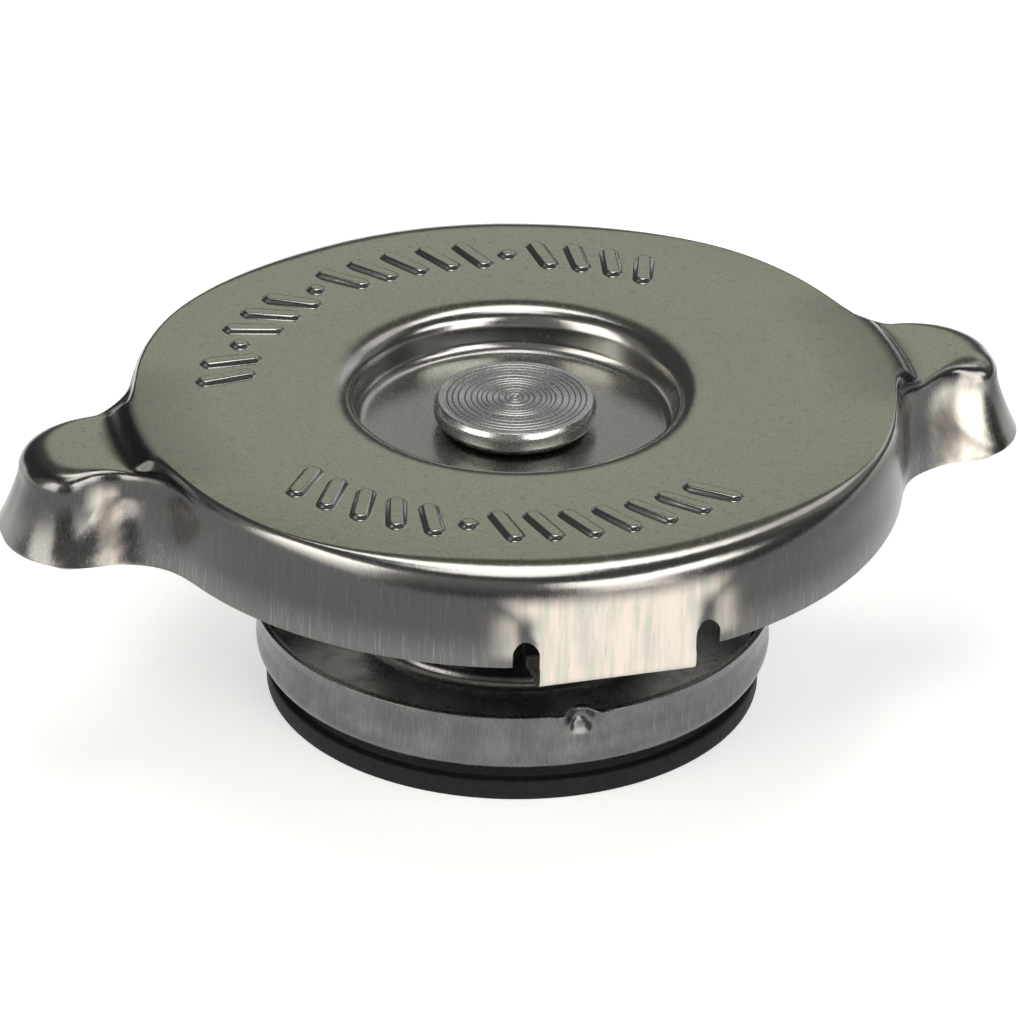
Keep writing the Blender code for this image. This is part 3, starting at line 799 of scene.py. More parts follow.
@dataclass(frozen=True)
class PressedTin:
    """Tinned sheet: olive satin flats, neutral bends, walls in a dark painted shade with real drawing
    streaks, and a pale painted highlight on the tabs and dents.
    """

    name: str = "tinned_sheet"
    flat: Colour = (0.375, 0.388, 0.295)
    flat_spot: Colour = (0.33, 0.33, 0.36)
    bend: Colour = (0.40, 0.395, 0.375)
    dull: Colour = (0.40, 0.405, 0.40)
    # Painted shade: this dark colour goes on the walls and over the ears' steps, turns and roots, standing in
    # for dark reflections.
    wall: Colour = (0.085, 0.085, 0.084)
    # Painted reflection: the walls turn to this paler colour towards their lower lip.
    lip: Colour = (0.15, 0.15, 0.148)
    wall_streak: Colour = (0.34, 0.34, 0.335)
    # Painted highlight: pale peach colours for the tab panels and the middles of the finger dents.
    painted_highlight: Colour = (0.80, 0.71, 0.63)
    painted_highlight_streak: Colour = (0.58, 0.58, 0.51)
    spot_share: float = 0.5
    fleck_share: float = 0.35
    sunk_share: float = 0.7
    lip_from: float = 4.6
    lip_to: float = 8.0
    mottle: float = 0.045
    calmed: float = 0.85
    roughness: float = 0.185
    spot_rough: float = 0.05
    painted_highlight_rough: float = 0.14
    drawn_rough: float = 0.1
    sunk_rough: float = 0.09
    bent_polish: float = 0.05
    wave_depth: float = 0.012
    streak_depth: float = 0.006
    grain_depth: float = 0.0015

    def flat_colour(self, paint: Paint, spots: Socket) -> Socket:
        """The plateau's olive with paler spots and dark flecks, duller in the sunk middle.

        Args:
            paint: The material under construction.
            spots: Where the spots lie.

        Returns:
            The colour.
        """
        flecks = paint.ease(paint.noise(0.22, (2.4, 1.0, 1.0), detail=3.0, roughness=0.6), 0.66, 0.74)
        flat = paint.blend(paint.times(spots, self.spot_share), self.flat, self.flat_spot)
        flat = paint.blend(paint.times(flecks, self.fleck_share), flat, self.wall)
        return paint.blend(paint.times(paint.marks("sunk"), self.sunk_share), flat, self.dull)

    def wall_colour(self, paint: Paint, streaks: Socket) -> Socket:
        """The walls' dark painted shade with drawing streaks; towards their lower lip it is paler, a painted
        reflection, and more streaked.

        Args:
            paint: The material under construction.
            streaks: The upright drawing streaks.

        Returns:
            The colour.
        """
        # Paler towards the lip as a painted reflection; the streaks grow stronger there too.
        low = paint.ease(paint.marks("drop"), self.lip_from, self.lip_to)
        strength = paint.sum("ADD", paint.times(low, 0.5), 0.12)
        wall = paint.blend(low, self.wall, self.lip)
        return paint.blend(paint.times(paint.ease(streaks, 0.5, 0.72), strength), wall, self.wall_streak)

    def painted_highlight_colour(self, paint: Paint, streaks: Socket) -> Socket:
        """The pale peach painted highlight on the tabs and dents, in broad bands with thin streaks.

        Args:
            paint: The material under construction.
            streaks: The upright drawing streaks.

        Returns:
            The colour.
        """
        wide = paint.noise(0.9, (1.0, 1.0, 9.0), detail=2.0)
        pale = paint.blend(paint.ease(wide, 0.35, 0.7), self.painted_highlight, self.painted_highlight_streak)
        return paint.blend(paint.ease(streaks, 0.56, 0.78, 0.0, 0.7), pale, self.wall_streak)

    def made(self) -> bpy.types.Material:
        """Builds the finish from the marks that its meshes carry.

        Returns:
            The material.
        """
        paint = Paint(self.name)
        bent, drawn_and_shade, painted_highlight = paint.marks("bent"), paint.marks("drawn_and_shade"), paint.marks("painted_highlight")
        streaks = paint.noise(0.2, (1.0, 1.0, 22.0), detail=4.0, roughness=0.75)
        spots = paint.ease(paint.noise(0.8, detail=4.0, roughness=0.65), 0.56, 0.7)
        colour = paint.blend(bent, self.flat_colour(paint, spots), self.bend)
        # Painted shade: the dark wall colour over the walls and the ears' steps, turns and roots.
        colour = paint.blend(drawn_and_shade, colour, self.wall_colour(paint, streaks))
        # Painted highlight: the pale colour over the tab panels and the dents' middles.
        colour = paint.blend(painted_highlight, colour, self.painted_highlight_colour(paint, streaks))
        fine = paint.noise(0.3, detail=6.0, roughness=0.85)
        mottle = paint.ease(fine, 0.3, 0.72, -self.mottle, self.mottle)
        worked = paint.sum("MAXIMUM", drawn_and_shade, bent)
        mottle = paint.times(mottle, paint.sum("SUBTRACT", 1.0, paint.times(worked, self.calmed)))
        lit = paint.add("ShaderNodeBrightContrast", {"Color": colour, "Bright": mottle}).outputs[0]
        rough = paint.chain(
            "ADD",
            paint.ease(streaks, 0.3, 0.75, -0.03, 0.06),
            self.roughness,
            paint.ease(spots, 0.0, 1.0, 0.0, self.spot_rough),
            paint.times(painted_highlight, self.painted_highlight_rough),
            paint.times(drawn_and_shade, self.drawn_rough),
            paint.times(paint.marks("sunk"), self.sunk_rough),
            paint.times(bent, -self.bent_polish),
        )
        paint.bare_metal(lit, rough)
        marked = paint.sum("MAXIMUM", paint.sum("MAXIMUM", drawn_and_shade, painted_highlight), bent)
        grain = paint.noise(0.14, detail=4.0, roughness=0.6)
        waves = paint.noise(1.6, detail=1.0)
        scored = paint.times(streaks, marked)
        paint.relief([(waves, self.wave_depth), (scored, self.streak_depth), (grain, self.grain_depth)])
        return paint.material


@dataclass(frozen=True)
class Rubber:
    """Matt moulded rubber with a faint bloom and fine pores."""

    name: str = "moulded_rubber"
    colour: Colour = (0.007, 0.007, 0.0075)
    bloom: Colour = (0.017, 0.017, 0.018)
    smooth: float = 0.52
    rough: float = 0.74
    gloss: float = 0.25
    ripple_depth: float = 0.03
    pore_depth: float = 0.012

    def made(self) -> bpy.types.Material:
        """Builds the rubber.

        Returns:
            The material.
        """
        paint = Paint(self.name)
        dust = paint.ease(paint.noise(0.7, (1.0, 1.0, 0.5), detail=5.0, roughness=0.7), 0.42, 0.75)
        pores = paint.noise(0.18, detail=4.0, roughness=0.7)
        paint.feed(paint.shader.inputs["Base Color"], paint.blend(dust, self.colour, self.bloom))
        paint.feed(paint.shader.inputs["Roughness"], paint.ease(pores, 0.3, 0.7, self.smooth, self.rough))
        paint.shader.inputs["Specular IOR Level"].default_value = self.gloss
        ripples = paint.noise(1.6, (1.0, 1.0, 0.6), detail=2.0)
        paint.relief([(ripples, self.ripple_depth), (pores, self.pore_depth)])
        return paint.material


class Finishes:
    """Every finish on the cap, made once."""

    def __init__(self) -> None:
        """Makes the materials."""
        self.tin = PressedTin().made()
        self.zinc = Metal(
            "turned_zinc", colour=(0.56, 0.57, 0.56), shade=(0.42, 0.42, 0.41),
            roughness=0.24, swing=0.06, streak=(1.0, 1.0, 1.0),
        ).made()
        self.plate = Metal(
            "satin_plate", colour=(0.14, 0.14, 0.14), shade=(0.235, 0.235, 0.232),
            roughness=0.25, swing=0.05, streak=(1.0, 1.0, 22.0), streak_depth=0.007,
        ).made()
        self.dark = Metal(
            "oiled_steel", colour=(0.24, 0.24, 0.235), shade=(0.09, 0.09, 0.09),
            roughness=0.2, swing=0.06, streak=(1.0, 1.0, 18.0),
        ).made()
        self.wire = Metal(
            "spring_wire", colour=(0.36, 0.36, 0.37), shade=(0.2, 0.2, 0.2),
            roughness=0.3, swing=0.08, streak=(6.0, 6.0, 1.0),
        ).made()
        self.bright = Metal(
            "bright_disc", colour=(0.56, 0.56, 0.54), shade=(0.4, 0.4, 0.38),
            roughness=0.24, swing=0.08, streak=(14.0, 1.0, 1.0),
        ).made()
        self.brass = Metal(
            "turned_brass", colour=(0.72, 0.52, 0.24), shade=(0.5, 0.34, 0.14),
            roughness=0.28, swing=0.08, streak=(1.0, 1.0, 0.4),
        ).made()
        self.rubber = Rubber().made()


# Pieces


@dataclass
class Cover:
    """The stamped cover: plateau, dish, skirt, two ears, two bayonet tabs, one sheet of steel."""

    sheet: float = 0.8
    wall_r: float = 32.12
    wall_draft: float = 0.02
    flare_from: float = 6.5
    flare_power: float = 1.7
    shoulder_drop: float = 3.4
    flat_r_front: float = 28.9
    flat_r_ear: float = 31.1
    flat_blend: Span = Span(34.0, 74.0)
    hole_r: float = 3.6
    dish_drop: float = 3.6
    dish_floor_r: float = 13.2
    dish_floor_fillet: float = 1.0
    dish_rim_r: float = 13.4
    dish_rim_legs: tuple[float, float] = (1.7, 2.5)
    ear_drop: float = 1.2
    ear_foot: float = 2.6
    ear_turn: float = 3.0
    ear_corner_drop: float = 1.9
    ear_wall_power: float = 1.3
    ear_tip_top: float = 41.4
    ear_half_top: float = 5.7
    ear_half_low: float = 7.6
    ear_corner_top: float = 5.0
    ear_corner_low: float = 6.8
    ear_fillet: float = 5.0
    ear_blend: Span = Span(10.0, 30.0)
    dent_x: float = 36.9
    dent_x_left: float = 35.5
    dent_half: float = 4.3
    dent_depth: float = 1.9
    dent_depth_left: float = 1.2
    dent_foot: float = 0.2
    dent_top: float = 2.2
    dent_start: float = 0.1
    dent_side: Span = Span(0.4, 4.2)
    tab_y: float = 31.6
    tab_half: float = 6.4
    tab_drop: float = 10.2
    tab_bend: float = 1.0
    tab_flat: Span = Span(1.4, 4.2)
    tab_margin: float = 0.6
    tab_start: float = 0.9
    tab_soft: float = 0.3
    tab_shift: float = 0.35
    lug_y: float = 27.2
    slot_width: float = 2.1
    slot_drop: float = 6.0
    pinch_depth: float = 0.5
    pinch_from_y: float = 28.0
    pinch_start: float = 1.5
    pinch_width: float = 0.8
    pinch_fan: float = 0.34
    pinch_height: float = 2.1
    skirt_drop: float = 8.1
    edge_round: float = 0.18
    inner_steps: int = 12
    foot_steps: int = 12
    flat_steps: int = 4
    turn_steps: int = 12
    wall_steps: int = 20

    def __post_init__(self) -> None:
        """Takes the overall sizes from the solid."""
        low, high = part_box("cover_shell")
        self.top = high.z / MM
        self.body_r = high.y / MM
        self.ear_tip_low = high.x / MM

    def outline(self, angle: float, half: float, corner: float, tip: float, body: float) -> float:
        """Radius of a disc joined to a rounded tongue, along one spoke.

        Args:
            angle: The spoke's angle from the ear's axis, in radians.
            half: Half the tongue's width.
            corner: Radius of the tongue's end corners.
            tip: The tongue's reach.
            body: The disc's radius.

        Returns:
            The outline's radius there.
        """
        cos_a, sin_a = math.cos(angle), abs(math.sin(angle))
        low, high = body - 4.0, tip + 4.0
        for _ in range(36):
            radius = (low + high) / 2.0
            disc = radius - body
            qx = radius * cos_a - tip + corner
            qy = radius * sin_a - half + corner
            tongue = math.hypot(max(qx, 0.0), max(qy, 0.0)) + min(max(qx, qy), 0.0) - corner
            near = max(self.ear_fillet - abs(disc - tongue), 0.0) / self.ear_fillet
            if min(disc, tongue) - near * near * self.ear_fillet / 4.0 < 0.0:
                low = radius
            else:
                high = radius
        return (low + high) / 2.0

    @staticmethod
    def spokes() -> list[float]:
        """Spreads the spokes, closer together round the ears and at the tabs.

        Returns:
            Their angles in degrees.
        """
        quarter: list[float] = []
        for start, end, step in ((0.0, 18.0, 0.5), (18.0, 30.0, 0.9), (30.0, 71.0, 1.25), (71.0, 90.0, 0.42)):
            count = round((end - start) / step)
            quarter += [mixed(start, end, i / count) for i in range(count)]
        half = quarter + [90.0] + [180.0 - angle for angle in reversed(quarter)]
        return half + [360.0 - angle for angle in reversed(half[1:-1])]

    def inner_rows(self) -> Section:
        """The section from the rivet hole over the dish's floor and wall to the plateau.

        Returns:
            Its points.
        """
        corners = [
            Corner(self.hole_r, -self.dish_drop),
            Corner(self.dish_floor_r, -self.dish_drop, self.dish_floor_fillet),
            Corner(self.dish_rim_r, 0.0, legs=self.dish_rim_legs),
            Corner(self.flat_r_front - 4.0, 0.0),
        ]
        rows = rounded(corners, steps=self.inner_steps)
        first, second = rows[0], rows[1]
        floor = [(mixed(first[0], second[0], i / 4), first[1]) for i in range(4)]
        return floor + rows[1:]

    def ear_rows(self, flat_r: float, edge: float, low_edge: float) -> Section:
        """The section over an ear: the step down, the ear's flat top, its turn and its wall.

        Args:
            flat_r: The plateau's radius.
            edge: The ear's reach at its top.
            low_edge: Its reach at the skirt's edge.

        Returns:
            Its points.
        """
        span = edge - flat_r
        foot = min(self.ear_foot, 0.4 * span)
        turn = min(self.ear_turn, 0.5 * span)
        step = self.ear_drop * mixed(0.5, 1.0, smoothstep(0.8, 5.0, span))
        rows: Section = []
        for i in range(self.foot_steps + 1):
            part = i / self.foot_steps
            rows.append((flat_r + foot * part, -step * part ** 4 * (5.0 - 4.0 * part)))
        for i in range(1, self.flat_steps + 1):
            rows.append((mixed(flat_r + foot, edge - turn, i / self.flat_steps), -step))
        for i in range(1, self.turn_steps + 1):
            part = i / self.turn_steps
            rows.append((edge - turn * (1.0 - part) ** 2, -step - self.ear_corner_drop * part * part))
        start = step + self.ear_corner_drop
        for i in range(1, self.wall_steps + 1):
            part = i / self.wall_steps
            radius = mixed(edge, low_edge, part ** self.ear_wall_power)
            rows.append((radius, -mixed(start, self.skirt_drop, part)))
        return rows

    def plain_rows(self, flat_r: float) -> Section:
        """The section away from the ears: the shoulder, the drafted wall and its flared lip.

        Args:
            flat_r: The plateau's radius.

        Returns:
            Its points, as many as over an ear.
        """
        rows: Section = []
        shoulder_steps = self.foot_steps + self.flat_steps + self.turn_steps
        for i in range(shoulder_steps + 1):
            part = i / shoulder_steps
            radius = self.wall_r - (self.wall_r - flat_r) * (1.0 - part) ** 2
            rows.append((radius, -self.shoulder_drop * part * part))
        room = self.body_r - self.wall_r - self.wall_draft * (self.flare_from - self.shoulder_drop)
        for i in range(1, self.wall_steps + 1):
            drop = mixed(self.shoulder_drop, self.skirt_drop, i / self.wall_steps)
            past = max(0.0, drop - self.flare_from) / (self.skirt_drop - self.flare_from)
            draft = self.wall_draft * (min(drop, self.flare_from) - self.shoulder_drop)
            rows.append((self.wall_r + draft + room * past ** self.flare_power, -drop))
        return rows

    def outer_rows(self, from_ear: float) -> Section:
        """The section from the plateau's edge down to the skirt's edge.

        Args:
            from_ear: The spoke's angle from the nearest ear, in degrees.

        Returns:
            Its points, as many on every spoke.
        """
        angle = math.radians(from_ear)
        inset = 0.2
        edge = self.outline(
            angle, self.ear_half_top, self.ear_corner_top, self.ear_tip_top, self.wall_r - inset
        )
        low_edge = self.outline(angle, self.ear_half_low, self.ear_corner_low, self.ear_tip_low, self.body_r)
        flat_r = mixed(self.flat_r_ear, self.flat_r_front, self.flat_blend.sets_in(from_ear))
        share = self.ear_blend.fades(from_ear)
        pairs = zip(self.plain_rows(flat_r), self.ear_rows(flat_r, edge, low_edge))
        return [(mixed(plain[0], ear[0], share), mixed(plain[1], ear[1], share)) for plain, ear in pairs]

    def dented(self, x: float, y: float, z: float) -> float:
        """Presses the finger dents into the ears' front sides.

        Args:
            x: Across the cap, through the ears.
            y: Along the tabs.
            z: Height over the plateau, negative below it.

        Returns:
            The moved y.
        """
        centre = self.dent_x if x > 0.0 else self.dent_x_left
        depth = self.dent_depth if x > 0.0 else self.dent_depth_left
        reach = abs(abs(x) - centre) / self.dent_half
        if reach >= 1.0 or y >= 0.0 or z >= -0.01:
            return y
        across = falling(0.0, 1.0, reach)
        below = max(0.0, -z - self.dent_top) / (self.skirt_drop - self.dent_top)
        down = mixed(1.0, self.dent_foot, min(1.0, below))
        start = smoothstep(self.dent_start, self.ear_drop, -z)
        return y + depth * across * down * self.dent_side.sets_in(-y) * start

    def flattened(self, y: float, z: float) -> float:
        """Flattens the wall into a tab's panel.

        Args:
            y: Along the tabs.
            z: Height over the plateau, negative below it.

        Returns:
            The moved y.
        """
        if abs(y) <= self.tab_y - self.tab_margin or z >= -self.tab_start:
            return y
        out = abs(y) - self.tab_y
        held = (out - math.sqrt(out * out + self.tab_soft * self.tab_soft)) / 2.0
        flat = self.tab_y + held + self.tab_soft * self.tab_shift
        return math.copysign(mixed(abs(y), flat, self.tab_flat.sets_in(-z)), y)

    def pinched(self, x: float, y: float, z: float) -> float:
        """Draws the wall in over the slots beside the tabs.

        Args:
            x: Across the cap, through the ears.
            y: Along the tabs.
            z: Height over the plateau, negative below it.

        Returns:
            The moved y.
        """
        if abs(y) <= self.pinch_from_y or z >= -self.pinch_start:
            return y
        over = max(0.0, z + self.slot_drop)
        width = self.pinch_width + self.pinch_fan * over
        side = (abs(x) - self.tab_half - self.slot_width / 2.0) / width
        pinch = self.pinch_depth * math.exp(-side * side - (over / self.pinch_height) ** 2)
        return math.copysign(abs(y) - pinch, y)

    def pressed(self, x: float, y: float, z: float) -> Point:
        """Adds the finger dents, the flat tab panels and the pinches over the slots.

        Args:
            x: Across the cap, through the ears.
            y: Along the tabs.
            z: Height over the plateau, negative below it.

        Returns:
            The moved point.
        """
        return x, self.pinched(x, self.flattened(self.dented(x, y, z), z), z), z

    def slot_distance(self, x: float, z: float) -> float:
        """Measures to the edge of the slots beside a tab.

        Args:
            x: Across the cap, through the ears.
            z: Height over the plateau, negative below it.

        Returns:
            The distance, negative inside a slot.
        """
        radius = self.slot_width / 2.0
        across = abs(x) - self.tab_half - radius
        above = z + self.slot_drop + radius
        return math.hypot(across, max(above, 0.0)) - radius

    def lug_path(self) -> Section:
        """The tab's way down from the skirt's edge, round its bend and inward.

        Returns:
            Its points, distance from the middle and height.
        """
        down_steps, bend_steps, inward_steps = 3, 7, 6
        bend_z = self.tab_bend - self.tab_drop
        down = [mixed(-self.skirt_drop, bend_z, i / down_steps) for i in range(1, down_steps + 1)]
        path = [(self.tab_y, z) for z in down]
        for i in range(1, bend_steps + 1):
            bend = math.radians(90.0 * i / bend_steps)
            path.append((
                self.tab_y - self.tab_bend * (1.0 - math.cos(bend)),
                -self.tab_drop + self.tab_bend * (1.0 - math.sin(bend)),
            ))
        inner_y = self.tab_y - self.tab_bend
        inward = [mixed(inner_y, self.lug_y, i / inward_steps) for i in range(1, inward_steps + 1)]
        return path + [(y, -self.tab_drop) for y in inward]

    def skin(self) -> bmesh.types.BMesh:
        """The cover's outer side with its lugs and slots, in millimetres over the plateau.

        Returns:
            The open skin.
        """
        work = bmesh.new()
        inner = self.inner_rows()
        grid = []
        for angle in self.spokes():
            folded = angle % 180.0
            rows = inner + self.outer_rows(min(folded, 180.0 - folded))
            cos_a, sin_a = math.cos(math.radians(angle)), math.sin(math.radians(angle))
            grid.append([work.verts.new(self.pressed(r * cos_a, r * sin_a, z)) for r, z in rows])
        for first, second in zip(grid, grid[1:] + grid[:1]):
            for k in range(len(first) - 1):
                work.faces.new((first[k], first[k + 1], second[k + 1], second[k]))
        tab_reach = self.tab_half + 1.3
        for sign in (-1.0, 1.0):
            edges = [column[-1] for column in grid]
            near = [edge for edge in edges if abs(edge.co.x) < tab_reach and edge.co.y * sign > 0.0]
            strips = []
            for edge in sorted(near, key=lambda vert: vert.co.x):
                strips.append([edge] + [work.verts.new((edge.co.x, sign * y, z)) for y, z in self.lug_path()])
            for first, second in zip(strips, strips[1:]):
                for k in range(len(first) - 1):
                    work.faces.new((first[k], first[k + 1], second[k + 1], second[k]))
        self.cut_slots(work)
        bmesh.ops.recalc_face_normals(work, faces=work.faces)
        highest = max(work.faces, key=lambda face: face.calc_center_median().z)
        if highest.normal.z < 0.0:
            bmesh.ops.reverse_faces(work, faces=work.faces)
        return work

    def cut_slots(self, work: bmesh.types.BMesh) -> None:
        """Splits the skin along the slots' outline and clears what lies inside it.

        Args:
            work: The skin.
        """
        def distance(co: Vector) -> float:
            """Distance to the slots' edge, large away from the tabs."""
            return self.slot_distance(co.x, co.z) if abs(co.y) > 25.0 else 9.0

        close, cleared = 0.07, -0.0001
        outline = {}
        for vert in work.verts:
            gap = distance(vert.co)
            if abs(gap) < close:
                step = 0.001
                slope_x = (distance(vert.co + Vector((step, 0.0, 0.0))) - gap) / step
                slope_z = (distance(vert.co + Vector((0.0, 0.0, step))) - gap) / step
                vert.co += Vector((slope_x, 0.0, slope_z)) * -gap
                gap = 0.0
            outline[vert] = gap
        for edge in list(work.edges):
            first, second = edge.verts
            if outline[first] * outline[second] < 0.0:
                share = outline[first] / (outline[first] - outline[second])
                _, made = bmesh.utils.edge_split(edge, first, share)
                outline[made] = 0.0
        for face in list(work.faces):
            on = [vert for vert in face.verts if outline[vert] == 0.0]
            if len(on) == 2 and not any(edge.other_vert(on[0]) == on[1] for edge in on[0].link_edges):
                bmesh.utils.face_split(face, on[0], on[1])
        inside = [face for face in work.faces if sum(outline[vert] for vert in face.verts) < cleared]
        bmesh.ops.delete(work, geom=inside, context="FACES")
        loose = [vert for vert in work.verts if not vert.link_faces]
        bmesh.ops.delete(work, geom=loose, context="VERTS")

    def built(self, shop: Shop, finish: bpy.types.Material) -> bpy.types.Object:
        """The cover as one closed sheet.

        Args:
            shop: Makes the object.
            finish: Its material.

        Returns:
            The piece.
        """
        work = self.skin()
        bmesh.ops.translate(work, verts=work.verts, vec=(0.0, 0.0, self.top))
        bmesh.ops.scale(work, verts=work.verts, vec=(MM, MM, MM))
        obj = shop.blank("cover", [])
        work.to_mesh(obj.data)
        work.free()
        obj.data.materials.append(finish)
        wall = obj.modifiers.new("Sheet", "SOLIDIFY")
        wall.thickness = self.sheet * MM
        wall.offset = -1.0
        wall.use_even_offset = True
        edge = obj.modifiers.new("Edge", "BEVEL")
        edge.width = self.edge_round * MM
        edge.segments = 3
        edge.limit_method = "ANGLE"
        edge.angle_limit = math.radians(55.0)
        bpy.context.view_layer.update()
        shape = bpy.data.meshes.new_from_object(obj.evaluated_get(bpy.context.evaluated_depsgraph_get()))
        obj.modifiers.clear()
        obj.data = shape
        shape.name = "cover"
        shape.shade_smooth()
        shape.set_sharp_from_angle(angle=math.radians(48.0))
        SheetMarks(self).written(shape)
        return shop.fitted(obj, Body.COVER, "cover_shell", Slot.TIN)


@dataclass(frozen=True)
class SheetMarks:
    """Where the cover's sheet is bent, where it takes a dark painted shade, and where it takes a pale painted
    highlight.
    """

    cover: Cover
    # Where the dark painted shade goes: walls, ear walls, ear turns, the steps down to the ears and their
    # roots.
    wall_reach: Span = Span(20.0, 26.0)
    wall_slope: Span = Span(0.25, 0.72)
    ear_reach: Span = Span(31.5, 34.0)
    ear_drop: Span = Span(2.4, 3.6)
    ear_slope: Span = Span(0.7, 0.9)
    ear_share: float = 0.8
    turn_reach: Span = Span(29.5, 31.0)
    turn_drop: Span = Span(0.3, 1.0)
    turn_slope: Span = Span(0.93, 0.985)
    turn_share: float = 0.6
    step_inner: Span = Span(30.4, 32.3)
    step_outer: Span = Span(33.3, 33.8)
    step_reach: Span = Span(28.5, 30.5)
    step_slope: Span = Span(0.5, 0.8)
    step_share: float = 0.95
    root_inner: Span = Span(27.6, 28.8)
    root_outer: Span = Span(32.5, 34.0)
    root_drop: Span = Span(0.1, 0.35)
    root_foot: Span = Span(1.3, 1.7)
    root_slope: Span = Span(0.96, 0.99)
    # Where the pale painted highlight goes on the tab panels and beside the slots, with a wedge of painted
    # shade over each slot.
    panel_reach: Span = Span(28.0, 31.0)
    panel_drop: Span = Span(1.2, 3.2)
    fan_edge: Span = Span(-0.1, 0.5)
    fan_spread: Span = Span(0.3, 0.9)
    flank_near: Span = Span(0.0, 1.0)
    flank_far: Span = Span(1.2, 3.4)
    flank_drop: Span = Span(2.6, 4.6)
    flank_foot: Span = Span(6.6, 7.8)
    flank_share: float = 0.55
    wedge_width: float = 0.5
    wedge_spread: float = 0.16
    wedge_height: Span = Span(1.2, 3.4)
    wedge_share: float = 0.92
    # The pale painted highlight down the middle of each finger dent.
    dent_width: float = 1.0
    dent_width_left: float = 0.4
    dent_highlight: float = 1.0
    dent_highlight_left: float = 0.85
    dent_edge: Span = Span(1.2, 3.4)
    dent_drop: Span = Span(1.8, 3.2)
    front_slope: Span = Span(0.35, 0.8)
    sunk_reach: Span = Span(12.6, 14.4)

    def drawn_and_shade_share(self, across: float, radius: float, below: float, slope: float) -> float:
        """How much dark painted shade the sheet takes: on the walls, and over the steps, turns and roots of
        the ears.

        Args:
            across: Distance from the middle along the ears.
            radius: Distance from the axis.
            below: Depth under the plateau.
            slope: The upward share of the normal.

        Returns:
            The share, 0 to 1.
        """
        on_wall = self.wall_reach.sets_in(radius) * self.wall_slope.fades(slope)
        on_ear = self.ear_reach.sets_in(across) * self.ear_drop.sets_in(below) * self.ear_slope.fades(slope)
        on_turn = self.turn_reach.sets_in(across) * self.turn_drop.sets_in(below)
        on_turn *= self.turn_slope.fades(slope)
        on_step = self.step_inner.sets_in(radius) * self.step_outer.fades(radius)
        on_step *= self.step_reach.sets_in(across) * self.step_slope.sets_in(slope)
        on_root = self.root_inner.sets_in(across) * self.root_outer.fades(across)
        on_root *= self.root_drop.sets_in(below) * self.root_foot.fades(below) * self.root_slope.fades(slope)
        shares = (on_wall, self.ear_share * on_ear, self.turn_share * on_turn, self.step_share * on_step)
        return max(*shares, on_root)

    def panel_highlight_share(self, across: float, along: float, below: float) -> float:
        """How much pale painted highlight a tab's panel and the wall beyond its slots take.

        Args:
            across: Distance from the middle along the ears.
            along: Distance from the middle along the tabs.
            below: Depth under the plateau.

        Returns:
            The share, 0 to 1, cut back by a painted-shade wedge that fans up from each slot.
        """
        edge = self.cover.tab_half
        high = max(0.0, self.cover.slot_drop - below)
        fan_from = edge + self.fan_edge.low + self.fan_spread.low * high
        fan_to = edge + self.fan_edge.high + self.fan_spread.high * high
        fan = falling(fan_from, fan_to, across) * self.panel_drop.sets_in(below)
        past_slot = across - edge - self.cover.slot_width / 2.0
        flank = self.flank_near.sets_in(past_slot) * self.flank_far.fades(past_slot)
        flank *= self.flank_drop.sets_in(below) * self.flank_foot.fades(below)
        side = past_slot / (self.wedge_width + self.wedge_spread * high)
        wedge = math.exp(-side * side) * self.wedge_height.fades(high)
        share = max(fan, self.flank_share * flank) * (1.0 - self.wedge_share * wedge)
        return share * self.panel_reach.sets_in(along)

    def dent_highlight_share(self, x: float, y: float, below: float) -> float:
        """How much pale painted highlight the middle of a finger dent takes.

        Args:
            x: Across the cap, through the ears.
            y: Along the tabs.
            below: Depth under the plateau.

        Returns:
            The share, 0 to 1.
        """
        if y >= 0.0:
            return 0.0
        centre, width, highlight_strength = self.cover.dent_x, self.dent_width, self.dent_highlight
        if x <= 0.0:
            centre, width, highlight_strength = self.cover.dent_x_left, self.dent_width_left, self.dent_highlight_left
        near = abs(abs(x) - centre) / width
        return highlight_strength * self.dent_edge.fades(near) * self.dent_drop.sets_in(below)

    def written(self, data: bpy.types.Mesh) -> None:
        """Writes where the sheet is bent, where it takes painted shade or a painted highlight, and where it
        is sunk, for its finish.

        Args:
            data: The cover's mesh.
        """
        names = ("bent", "drawn_and_shade", "painted_highlight", "drop", "sunk")
        for name in names:
            data.attributes.new(name, "FLOAT", "POINT")
        bent, drawn_and_shade, painted_highlight, drop, sunk = (data.attributes[name].data for name in names)
        for i, vert in enumerate(data.vertices):
            x, y = vert.co.x / MM, vert.co.y / MM
            radius = math.hypot(x, y)
            below = self.cover.top - vert.co.z / MM
            slope = abs(vert.normal.z)
            # The painted highlight lands only where the normal faces outward along the tabs.
            outward = 1.0 if vert.normal.y * y > 0.0 else 0.0
            front = self.front_slope.sets_in(abs(vert.normal.y)) * outward
            panel = self.panel_highlight_share(abs(x), abs(y), below)
            drop[i].value = below
            bent[i].value = bend_share(slope)
            drawn_and_shade[i].value = self.drawn_and_shade_share(abs(x), radius, below, slope)
            painted_highlight[i].value = max(front * panel, self.dent_highlight_share(x, y, below))
            sunk[i].value = self.sunk_reach.fades(radius)


